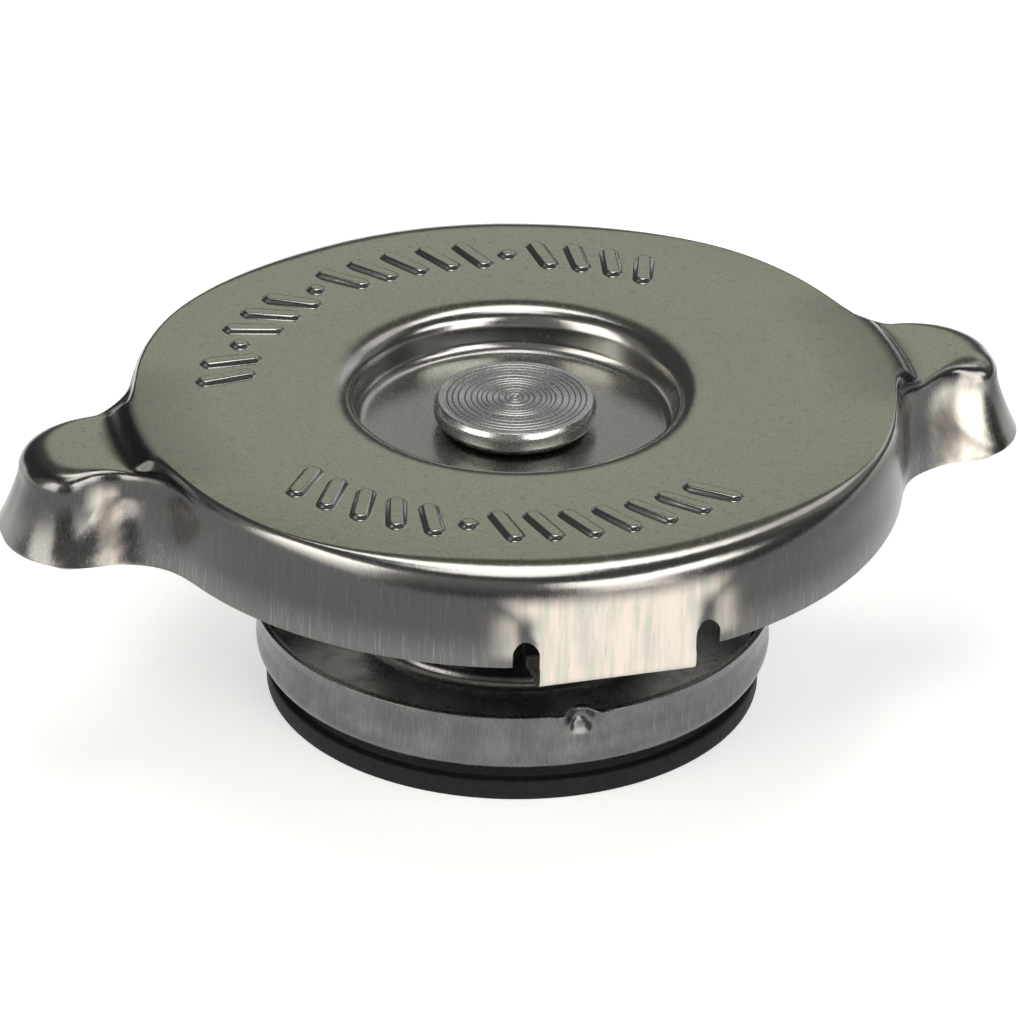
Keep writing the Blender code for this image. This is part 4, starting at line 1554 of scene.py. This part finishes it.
@dataclass
class EmbossedBand:
    """A ring of plain raised strokes and pips pressed up round the plateau."""

    ring_r: float = 23.85
    stroke: float = 5.4
    width: float = 1.9
    height: float = 0.32
    root: float = 0.3
    slant: float = 24.0
    pitch: float = 7.2
    upper: tuple[int, ...] = (2, 3, 5, 4)
    lower: tuple[int, ...] = (5, 7)
    upper_from: float = 163.0
    lower_from: float = -150.0

    def built(self, shop: Shop, top: float, finish: bpy.types.Material) -> bpy.types.Object:
        """Raises the marks as one piece on the plateau.

        Args:
            shop: Makes the object.
            top: The plateau's height.
            finish: Their material.

        Returns:
            The piece.
        """
        places: list[tuple[float, bool]] = []
        for groups, start, way in ((self.upper, self.upper_from, -1.0), (self.lower, self.lower_from, 1.0)):
            angle = start
            for number, count in enumerate(groups):
                if number:
                    places.append((angle, True))
                    angle += way * self.pitch
                for _ in range(count):
                    places.append((angle, False))
                    angle += way * self.pitch
        points = []
        for angle, _ in places:
            turn = math.radians(angle)
            points.append((self.ring_r * math.cos(turn), self.ring_r * math.sin(turn), top))
        obj = shop.blank("embossed_marks", points)
        turns = obj.data.attributes.new("turn", "FLOAT", "POINT")
        pips = obj.data.attributes.new("pip", "BOOLEAN", "POINT")
        for i, (angle, is_pip) in enumerate(places):
            turns.data[i].value = math.radians(angle - 90.0 + (0.0 if is_pip else self.slant))
            pips.data[i].value = is_pip
        sizes = {"Stroke length": self.stroke * MM, "Stroke width": self.width * MM}
        sizes |= {"Height": self.height * MM, "Root depth": self.root * MM, "Finish": finish}
        grown(obj, emboss_tree(), sizes)
        shop.trued(obj, 180.0)
        bent = obj.data.attributes.new("bent", "FLOAT", "POINT").data
        for i, vert in enumerate(obj.data.vertices):
            bent[i].value = bend_share(abs(vert.normal.z))
        return shop.fitted(obj, Body.COVER, None, Slot.TIN)


@dataclass
class RivetStack:
    """The rivet with the friction disc, spacer and washer that it holds."""

    head_r: float = 6.7
    shank_r: float = 3.0
    tail_r: float = 4.8
    tail_height: float = 1.2
    dish_drop: float = 3.6
    ring_pitch: float = 0.46
    ring_depth: float = 0.05
    disc_sheet: float = 0.4
    disc_droop: float = 0.9
    disc_land: float = 3.0
    disc_crown_r: float = 8.0
    disc_gap: float = 0.6
    clear: float = 0.3

    def rivet(self, shop: Shop, finish: bpy.types.Material) -> bpy.types.Object:
        """The rivet: a faced head with a rounded edge, a shank and a set tail.

        Args:
            shop: Makes the object.
            finish: Its material.

        Returns:
            The piece.
        """
        top, tail_low = top_of("center_rivet"), foot_of("center_rivet")
        head_low = top_of("cover_shell") - self.dish_drop + self.clear
        tail_top = tail_low + self.tail_height
        corners = [
            Corner(self.head_r - 0.3, top, 0.16),
            Corner(self.head_r, top - 0.45, 0.5),
            Corner(self.head_r, head_low + 0.75, 0.5),
            Corner(self.head_r - 0.7, head_low, 0.35),
            Corner(self.shank_r, head_low, 0.15),
            Corner(self.shank_r, tail_top, 0.1),
            Corner(self.tail_r, tail_top, 0.2),
            Corner(self.tail_r - 0.1, tail_top - 0.7, 0.4),
            Corner(self.tail_r - 1.4, tail_low, 0.5),
            Corner(0.0, tail_low),
        ]
        rim = self.head_r - 0.6
        rows_a_ring = 7.0
        rows = int(rim / (self.ring_pitch / rows_a_ring))
        face = [(mixed(0.0, rim, i / rows), top) for i in range(rows + 1)]
        section = face + rounded([Corner(rim, top)] + corners)[1:]
        obj = shop.turned("center_rivet_turned", section, finish, 144, closed=False)
        sizes = {"Pitch": self.ring_pitch * MM, "Depth": self.ring_depth * MM}
        sizes |= {"Reach": (rim - 0.1) * MM, "Lowest face": (top - 0.02) * MM, "Finish": finish}
        grown(obj, facing_tree(), sizes)
        shop.trued(obj)
        return shop.fitted(obj, Body.COVER, "center_rivet", Slot.RIVET)

    def disc(self, shop: Shop, finish: bpy.types.Material) -> bpy.types.Object:
        """The friction disc: a thin spring sheet with a sunk outer land.

        Args:
            shop: Makes the object.
            finish: Its material.

        Returns:
            The piece.
        """
        top, reach = top_of("friction_disc"), reach_of("friction_disc")
        corners = [
            Corner(reach, top - self.disc_droop),
            Corner(reach - self.disc_land, top - self.disc_droop, 2.0),
            Corner(self.disc_crown_r, top, 3.0),
            Corner(self.shank_r + self.disc_gap, top),
        ]
        obj = shop.turned("friction_disc_sheet", sheet_section(corners, self.disc_sheet), finish)
        return shop.fitted(obj, Body.BELL, "friction_disc", Slot.BRIGHT)

    def washer(self, shop: Shop, node: str, finish: bpy.types.Material) -> bpy.types.Object:
        """A flat washer with broken edges, in the place of its solid.

        Args:
            shop: Makes the object.
            node: The solid's name.
            finish: Its material.

        Returns:
            The piece.
        """
        top, low, reach = top_of(node), foot_of(node), reach_of(node)
        hole = self.shank_r + self.clear
        inner, outer = 0.1, 0.18
        section = rounded([
            Corner(hole, top, inner),
            Corner(reach, top, outer),
            Corner(reach, low, outer),
            Corner(hole, low, inner),
        ], closed=True, steps=4)
        obj = shop.turned(node + "_turned", section, finish, 96)
        return shop.fitted(obj, Body.BELL, node, Slot.PLATE)

    def built(self, shop: Shop, looks: Finishes) -> None:
        """All four pieces.

        Args:
            shop: Makes the objects.
            looks: Their materials.
        """
        self.rivet(shop, looks.zinc)
        self.disc(shop, looks.bright)
        self.washer(shop, "spacer_washer", looks.plate)
        self.washer(shop, "rivet_washer", looks.plate)


@dataclass
class Bell:
    """The dark bell that holds the main spring and guides the valve cup."""

    sheet: float = 0.5
    wall_r: float = 12.8
    crown_fillet: float = 2.6
    foot_fillet: float = 1.3
    hole_r: float = 3.5
    wire_r: float = 0.9
    coil_r: float = 10.3
    turns: float = 5.0
    lift: float = 2.0

    def built(self, shop: Shop, looks: Finishes) -> None:
        """The bell and the spring under it.

        Args:
            shop: Makes the objects.
            looks: Their materials.
        """
        top, reach = top_of("bell_housing"), reach_of("bell_housing")
        flange = foot_of("bell_housing") + self.sheet
        corners = [
            Corner(reach, flange),
            Corner(self.wall_r, flange, self.foot_fillet),
            Corner(self.wall_r, top, self.crown_fillet),
            Corner(self.hole_r, top),
        ]
        obj = shop.turned("bell_housing_drawn", sheet_section(corners, self.sheet, 10), looks.dark)
        shop.fitted(obj, Body.BELL, "bell_housing", Slot.DARK)
        low, high = foot_of("main_spring"), top_of("main_spring")
        spring = shop.wound("main_spring_wound", self.coil_r, self.wire_r, low, high, self.turns, looks.wire)
        shop.fitted(spring, Body.VALVE, "main_spring", Slot.WIRE)
        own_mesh(spring)


@dataclass
class ValveCup:
    """The staked valve cup with its gasket and the hat-shaped seat that clamps it."""

    sheet: float = 0.5
    hole_r: float = 7.4
    shoulder_fillet: float = 1.5
    stakes: int = 3
    stake_width: float = 2.6
    stake_depth: float = 1.15
    stake_top: float = 0.5
    stake_foot: float = 2.3
    seat_r: float = 6.9
    seat_sheet: float = 0.45
    seat_hole_r: float = 2.4
    clear: float = 0.3
    gasket_wall: float = 1.75
    gasket_step: float = 0.9
    gasket_recess_r: float = 13.0
    gasket_recess_z: float = 1.6

    def cup(self, shop: Shop, finish: bpy.types.Material) -> bpy.types.Object:
        """The cup: a flat floor, a rolled lower corner, a flaring wall, three stakes under the rim.

        Args:
            shop: Makes the object.
            finish: Its material.

        Returns:
            The piece.
        """
        rim_z, low, rim_r = top_of("valve_cup"), foot_of("valve_cup"), reach_of("valve_cup")
        corners = [
            Corner(self.hole_r, low),
            Corner(rim_r - 0.1, low, self.shoulder_fillet),
            Corner(rim_r - 0.5, rim_z - 2.7, 3.0),
            Corner(rim_r - 0.36, rim_z - 1.0, 2.0),
            Corner(rim_r, rim_z),
        ]
        fine = self.subdivided(corners)
        obj = shop.turned("valve_cup_drawn", sheet_section(fine, self.sheet, 8, 0.2), finish, 400)
        sizes = {"Stakes": self.stakes, "First angle": -math.pi / 2.0, "Width": self.stake_width * MM}
        sizes |= {"Depth": self.stake_depth * MM, "Wall radius": rim_r * MM, "Finish": finish}
        sizes |= {"Deep height": (rim_z - self.stake_top) * MM, "Fade height": (rim_z - self.stake_foot) * MM}
        grown(obj, stake_tree(), sizes)
        shop.trued(obj)
        return shop.fitted(obj, Body.VALVE, "valve_cup", Slot.PLATE)

    @staticmethod
    def subdivided(corners: Sequence[Corner], longest: float = 0.3) -> list[Corner]:
        """Adds points along a steep section's straight stretches, so that it can be pressed.

        Args:
            corners: The section's corners.
            longest: The longest stretch left without a point.

        Returns:
            The finer section's corners.
        """
        points = rounded(corners, steps=8)
        found = [Corner(*points[0])]
        for (r0, z0), (r1, z1) in zip(points, points[1:]):
            count = max(1, math.ceil(abs(z1 - z0) / longest))
            found += [Corner(mixed(r0, r1, i / count), mixed(z0, z1, i / count)) for i in range(1, count + 1)]
        return found

    def gasket(self, shop: Shop, finish: bpy.types.Material) -> bpy.types.Object:
        """The lower gasket with its moulded edge and the recess under it.

        Args:
            shop: Makes the object.
            finish: Its material.

        Returns:
            The piece.
        """
        top, reach = top_of("main_gasket"), reach_of("main_gasket")
        inner = self.seat_r + self.clear
        section = rounded([
            Corner(inner, top, 0.1),
            Corner(reach - self.gasket_step, top, 0.12),
            Corner(reach - self.gasket_step, self.gasket_wall, 0.2),
            Corner(reach, self.gasket_wall, 0.22),
            Corner(reach, 0.0, 0.2),
            Corner(self.gasket_recess_r, 0.0, 0.25),
            Corner(self.gasket_recess_r, self.gasket_recess_z, 0.2),
            Corner(inner, self.gasket_recess_z, 0.1),
        ], closed=True, steps=4)
        obj = shop.turned("main_gasket_moulded", section, finish, 192)
        return shop.fitted(obj, Body.VALVE, "main_gasket", Slot.RUBBER)

    def seat(self, shop: Shop, finish: bpy.types.Material) -> bpy.types.Object:
        """The hat-shaped seat: a brim under the gasket and a crown for the vacuum valve.

        Args:
            shop: Makes the object.
            finish: Its material.

        Returns:
            The piece.
        """
        crown, brim = top_of("valve_seat"), foot_of("valve_seat") + self.seat_sheet
        corners = [
            Corner(reach_of("valve_seat"), brim),
            Corner(self.seat_r, brim, 0.25),
            Corner(self.seat_r, crown, 0.8),
            Corner(self.seat_hole_r, crown),
        ]
        obj = shop.turned("valve_seat_drawn", sheet_section(corners, self.seat_sheet), finish)
        return shop.fitted(obj, Body.VALVE, "valve_seat", Slot.BRIGHT)

    def built(self, shop: Shop, looks: Finishes) -> None:
        """All three pieces.

        Args:
            shop: Makes the objects.
            looks: Their materials.
        """
        self.cup(shop, looks.plate)
        self.gasket(shop, looks.rubber)
        self.seat(shop, looks.bright)


@dataclass
class VacuumValve:
    """The small brass valve in the seat, with its seal, spring and keeper."""

    stem_r: float = 1.2
    knob_r: float = 1.9
    boss_r: float = 1.9
    boss_height: float = 0.35
    disc_sheet: float = 0.5
    clear: float = 0.3
    wire_r: float = 0.25
    coil_r: float = 3.3
    turns: float = 5.0
    drop: float = 1.2

    def valve(self, shop: Shop, finish: bpy.types.Material) -> bpy.types.Object:
        """The disc, stem and knob, turned as one.

        Args:
            shop: Makes the object.
            finish: Its material.

        Returns:
            The piece.
        """
        top, low, reach = top_of("vacuum_valve"), foot_of("vacuum_valve"), reach_of("vacuum_valve")
        disc_low = low + self.boss_height
        disc_top = disc_low + self.disc_sheet
        knob_low = top_of("spring_keeper") + self.clear
        section = rounded([
            Corner(0.0, top),
            Corner(self.knob_r, top, 0.4),
            Corner(self.knob_r, knob_low, 0.1),
            Corner(self.stem_r, knob_low, 0.08),
            Corner(self.stem_r, disc_top, 0.2),
            Corner(reach, disc_top, 0.15),
            Corner(reach, disc_low, 0.15),
            Corner(self.boss_r + 0.5, disc_low, 0.12),
            Corner(self.boss_r, low, 0.15),
            Corner(0.0, low),
        ])
        obj = shop.turned("vacuum_valve_turned", section, finish, 96, closed=False)
        return shop.fitted(obj, Body.VACUUM, "vacuum_valve", Slot.BRASS)

    def ring(self, shop: Shop, node: str, slot: Slot, finish: bpy.types.Material) -> bpy.types.Object:
        """A flat ring round the stem, in the place of its solid.

        Args:
            shop: Makes the object.
            node: The solid's name.
            slot: Its finish's name, handed on to the shop.
            finish: Its material.

        Returns:
            The piece.
        """
        top, low, reach = top_of(node), foot_of(node), reach_of(node)
        hole = self.stem_r + self.clear
        inner, outer = 0.08, 0.14
        section = rounded([
            Corner(hole, top, inner),
            Corner(reach, top, outer),
            Corner(reach, low, outer),
            Corner(hole, low, inner),
        ], closed=True, steps=4)
        return shop.fitted(shop.turned(node + "_turned", section, finish, 96), Body.VACUUM, node, slot)

    def built(self, shop: Shop, looks: Finishes) -> None:
        """All four pieces.

        Args:
            shop: Makes the objects.
            looks: Their materials.
        """
        self.valve(shop, looks.brass)
        self.ring(shop, "vacuum_seal", Slot.RUBBER, looks.rubber)
        self.ring(shop, "spring_keeper", Slot.BRASS, looks.brass)
        low, high = foot_of("vacuum_spring"), top_of("vacuum_spring")
        spring = shop.wound(
            "vacuum_spring_wound", self.coil_r, self.wire_r, low, high, self.turns, looks.wire, per_turn=36
        )
        shop.fitted(spring, Body.VALVE, "vacuum_spring", Slot.WIRE)
        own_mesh(spring)


# Studio


@dataclass(frozen=True)
class Panel:
    """A soft-edged bright panel on the studio's dome, placed by compass and height in degrees."""

    name: str
    left: float
    right: float
    low: float
    high: float
    level: float
    colour: Colour = (1.0, 1.0, 1.0)
    soft: float = 3.0


@dataclass
class Studio:
    """Floor, dome with its soft panels, and camera."""

    azimuth: float = -15.36
    elevation: float = 28.97
    roll: float = 0.69
    distance: float = 545.0
    lens: float = 231.6
    aim_right: float = -0.33
    aim_z: float = 15.59
    sensor: float = 36.0
    floor_half: float = 12.0
    floor_colour: Colour = (0.86, 0.86, 0.86)
    floor_rough: float = 0.9
    floor_gloss: float = 0.1
    floor_lift: float = 0.5
    seam: float = -60.0
    gloom: Colour = (0.085, 0.085, 0.085)
    horizon: Colour = (0.98, 0.98, 0.98)
    horizon_from: float = 4.0
    horizon_to: float = 2.0
    panels: tuple[Panel, ...] = (
        Panel("rear_card", 5.0, 62.0, 20.5, 34.0, 0.58, (1.0, 1.0, 0.98)),
        Panel("rear_wall", 34.0, 92.0, 15.0, 50.0, 0.2),
        Panel("top_box", -14.0, 68.0, 57.0, 82.0, 2.9, (1.0, 0.985, 0.96), 2.0),
        Panel("overhead", -80.0, 320.0, 80.0, 120.0, 2.4, (1.0, 0.985, 0.96), 2.0),
        Panel("right_top", 42.0, 74.0, 38.0, 56.0, 0.8, (1.0, 0.95, 0.9)),
        Panel("left_box", 234.0, 273.0, 4.0, 51.0, 2.9, (1.0, 0.95, 0.89), 2.0),
        Panel("front_box", 121.0, 180.0, 30.0, 50.0, 3.3, (1.0, 0.98, 0.95), 2.0),
        Panel("front_strip", 150.0, 174.0, 2.0, 31.0, 3.6, (1.0, 0.96, 0.91), 2.0),
        Panel("left_wall", 190.0, 300.0, -4.0, 62.0, 0.14),
    )

    def camera(self) -> bpy.types.Object:
        """Sets the camera at the photographed angle.

        Returns:
            The camera.
        """
        turned, raised = math.radians(self.azimuth), math.radians(self.elevation)
        level = math.cos(raised)
        back = Vector((math.sin(turned) * level, -math.cos(turned) * level, math.sin(raised)))
        right = Vector((math.cos(turned), math.sin(turned), 0.0))
        up = back.cross(right)
        tilt = math.radians(self.roll)
        x = right * math.cos(tilt) + up * math.sin(tilt)
        y = up * math.cos(tilt) - right * math.sin(tilt)
        data = bpy.data.cameras.new("camera")
        data.lens = self.lens
        data.sensor_width = self.sensor
        data.clip_start, data.clip_end = 0.01, 40.0
        obj = bpy.data.objects.new("camera", data)
        bpy.context.scene.collection.objects.link(obj)
        target = right * self.aim_right * MM + Vector((0.0, 0.0, self.aim_z * MM))
        turn = Matrix((x, y, back)).transposed().to_4x4()
        obj.matrix_world = Matrix.Translation(target + back * self.distance * MM) @ turn
        bpy.context.scene.camera = obj
        return obj

    def panel_light(self, wiring: Wiring, panel: Panel, compass: Socket, height: Socket) -> Socket:
        """The light that one panel sends from each direction.

        Args:
            wiring: The dome's nodes.
            panel: The panel.
            compass: The direction's compass reading past the seam.
            height: Its height in degrees.

        Returns:
            The light's colour.
        """
        left, right, soft = panel.left - self.seam, panel.right - self.seam, panel.soft
        inside = wiring.chain(
            "MULTIPLY",
            wiring.ease(compass, left - soft, left + soft),
            wiring.ease(compass, right + soft, right - soft),
            wiring.ease(height, panel.low - soft, panel.low + soft),
            wiring.ease(height, panel.high + soft, panel.high - soft),
        )
        colour = [value * panel.level for value in panel.colour]
        return wiring.add(
            "ShaderNodeVectorMath", {0: colour, "Scale": inside}, operation="SCALE", label=panel.name
        ).outputs[0]

    def dome(self) -> None:
        """A dim studio dome that carries the soft panels; compass 0 is +Y and 90 is +X."""
        world = bpy.data.worlds.new("studio_dome")
        bpy.context.scene.world = world
        world.use_nodes = True
        wiring = Wiring(world.node_tree)
        direction = wiring.add("ShaderNodeTexCoord").outputs["Generated"]
        way = wiring.add("ShaderNodeSeparateXYZ", {0: direction}).outputs
        compass = wiring.sum("DEGREES", wiring.sum("ARCTAN2", way["X"], way["Y"]))
        compass = wiring.sum("FLOORED_MODULO", wiring.sum("SUBTRACT", compass, self.seam), 360.0)
        height = wiring.sum("DEGREES", wiring.sum("ARCSINE", way["Z"]))
        total = self.gloom
        for panel in self.panels:
            light = self.panel_light(wiring, panel, compass, height)
            total = wiring.add("ShaderNodeVectorMath", {0: total, 1: light}, operation="ADD").outputs[0]
        low = wiring.ease(height, self.horizon_from, self.horizon_to)
        ends = {"Factor": low, 6: total, 7: (*self.horizon, 1.0)}
        seen = wiring.add("ShaderNodeMix", ends, data_type="RGBA").outputs[2]
        wiring.feed(wiring.nodes["Background"].inputs["Color"], seen)

    def floor(self) -> bpy.types.Object:
        """A large pale floor that looks white, keeps its shadow, and lets a view from below through.

        Returns:
            The floor.
        """
        data = bpy.data.meshes.new("floor")
        half = self.floor_half
        corners = [(-half, -half, 0.0), (half, -half, 0.0), (half, half, 0.0), (-half, half, 0.0)]
        data.from_pydata(corners, [], [(0, 1, 2, 3)])
        obj = bpy.data.objects.new("floor", data)
        bpy.context.scene.collection.objects.link(obj)
        paint = Paint("floor_pale")
        paint.shader.inputs["Base Color"].default_value = (*self.floor_colour, 1.0)
        paint.shader.inputs["Roughness"].default_value = self.floor_rough
        paint.shader.inputs["Specular IOR Level"].default_value = self.floor_gloss
        rays = paint.add("ShaderNodeLightPath").outputs
        kinds = ("Is Camera Ray", "Is Glossy Ray", "Is Transmission Ray")
        seen = paint.chain("MAXIMUM", *(rays[kind] for kind in kinds))
        paint.shader.inputs["Emission Color"].default_value = (1.0, 1.0, 1.0, 1.0)
        paint.feed(paint.shader.inputs["Emission Strength"], paint.times(seen, self.floor_lift))
        clear = paint.add("ShaderNodeBsdfTransparent")
        under = paint.add("ShaderNodeNewGeometry").outputs["Backfacing"]
        either = paint.add("ShaderNodeMixShader", {0: under, 1: paint.shader.outputs[0], 2: clear.outputs[0]})
        paint.links.new(either.outputs[0], paint.nodes["Material Output"].inputs["Surface"])
        data.materials.append(paint.material)
        return obj

    def built(self) -> None:
        """Everything that is not the cap."""
        self.camera()
        self.dome()
        self.floor()
        bpy.context.scene.view_settings.view_transform = "Standard"


def main() -> None:
    """Builds the cap piece by piece, then its studio."""
    logging.basicConfig(level=logging.INFO, format="%(message)s")
    shop, looks = Shop(), Finishes()
    cover = Cover()
    cover.built(shop, looks.tin)
    EmbossedBand().built(shop, cover.top, looks.tin)
    RivetStack().built(shop, looks)
    Bell().built(shop, looks)
    ValveCup().built(shop, looks)
    VacuumValve().built(shop, looks)
    Studio().built()


if __name__ == "__main__":
    main()
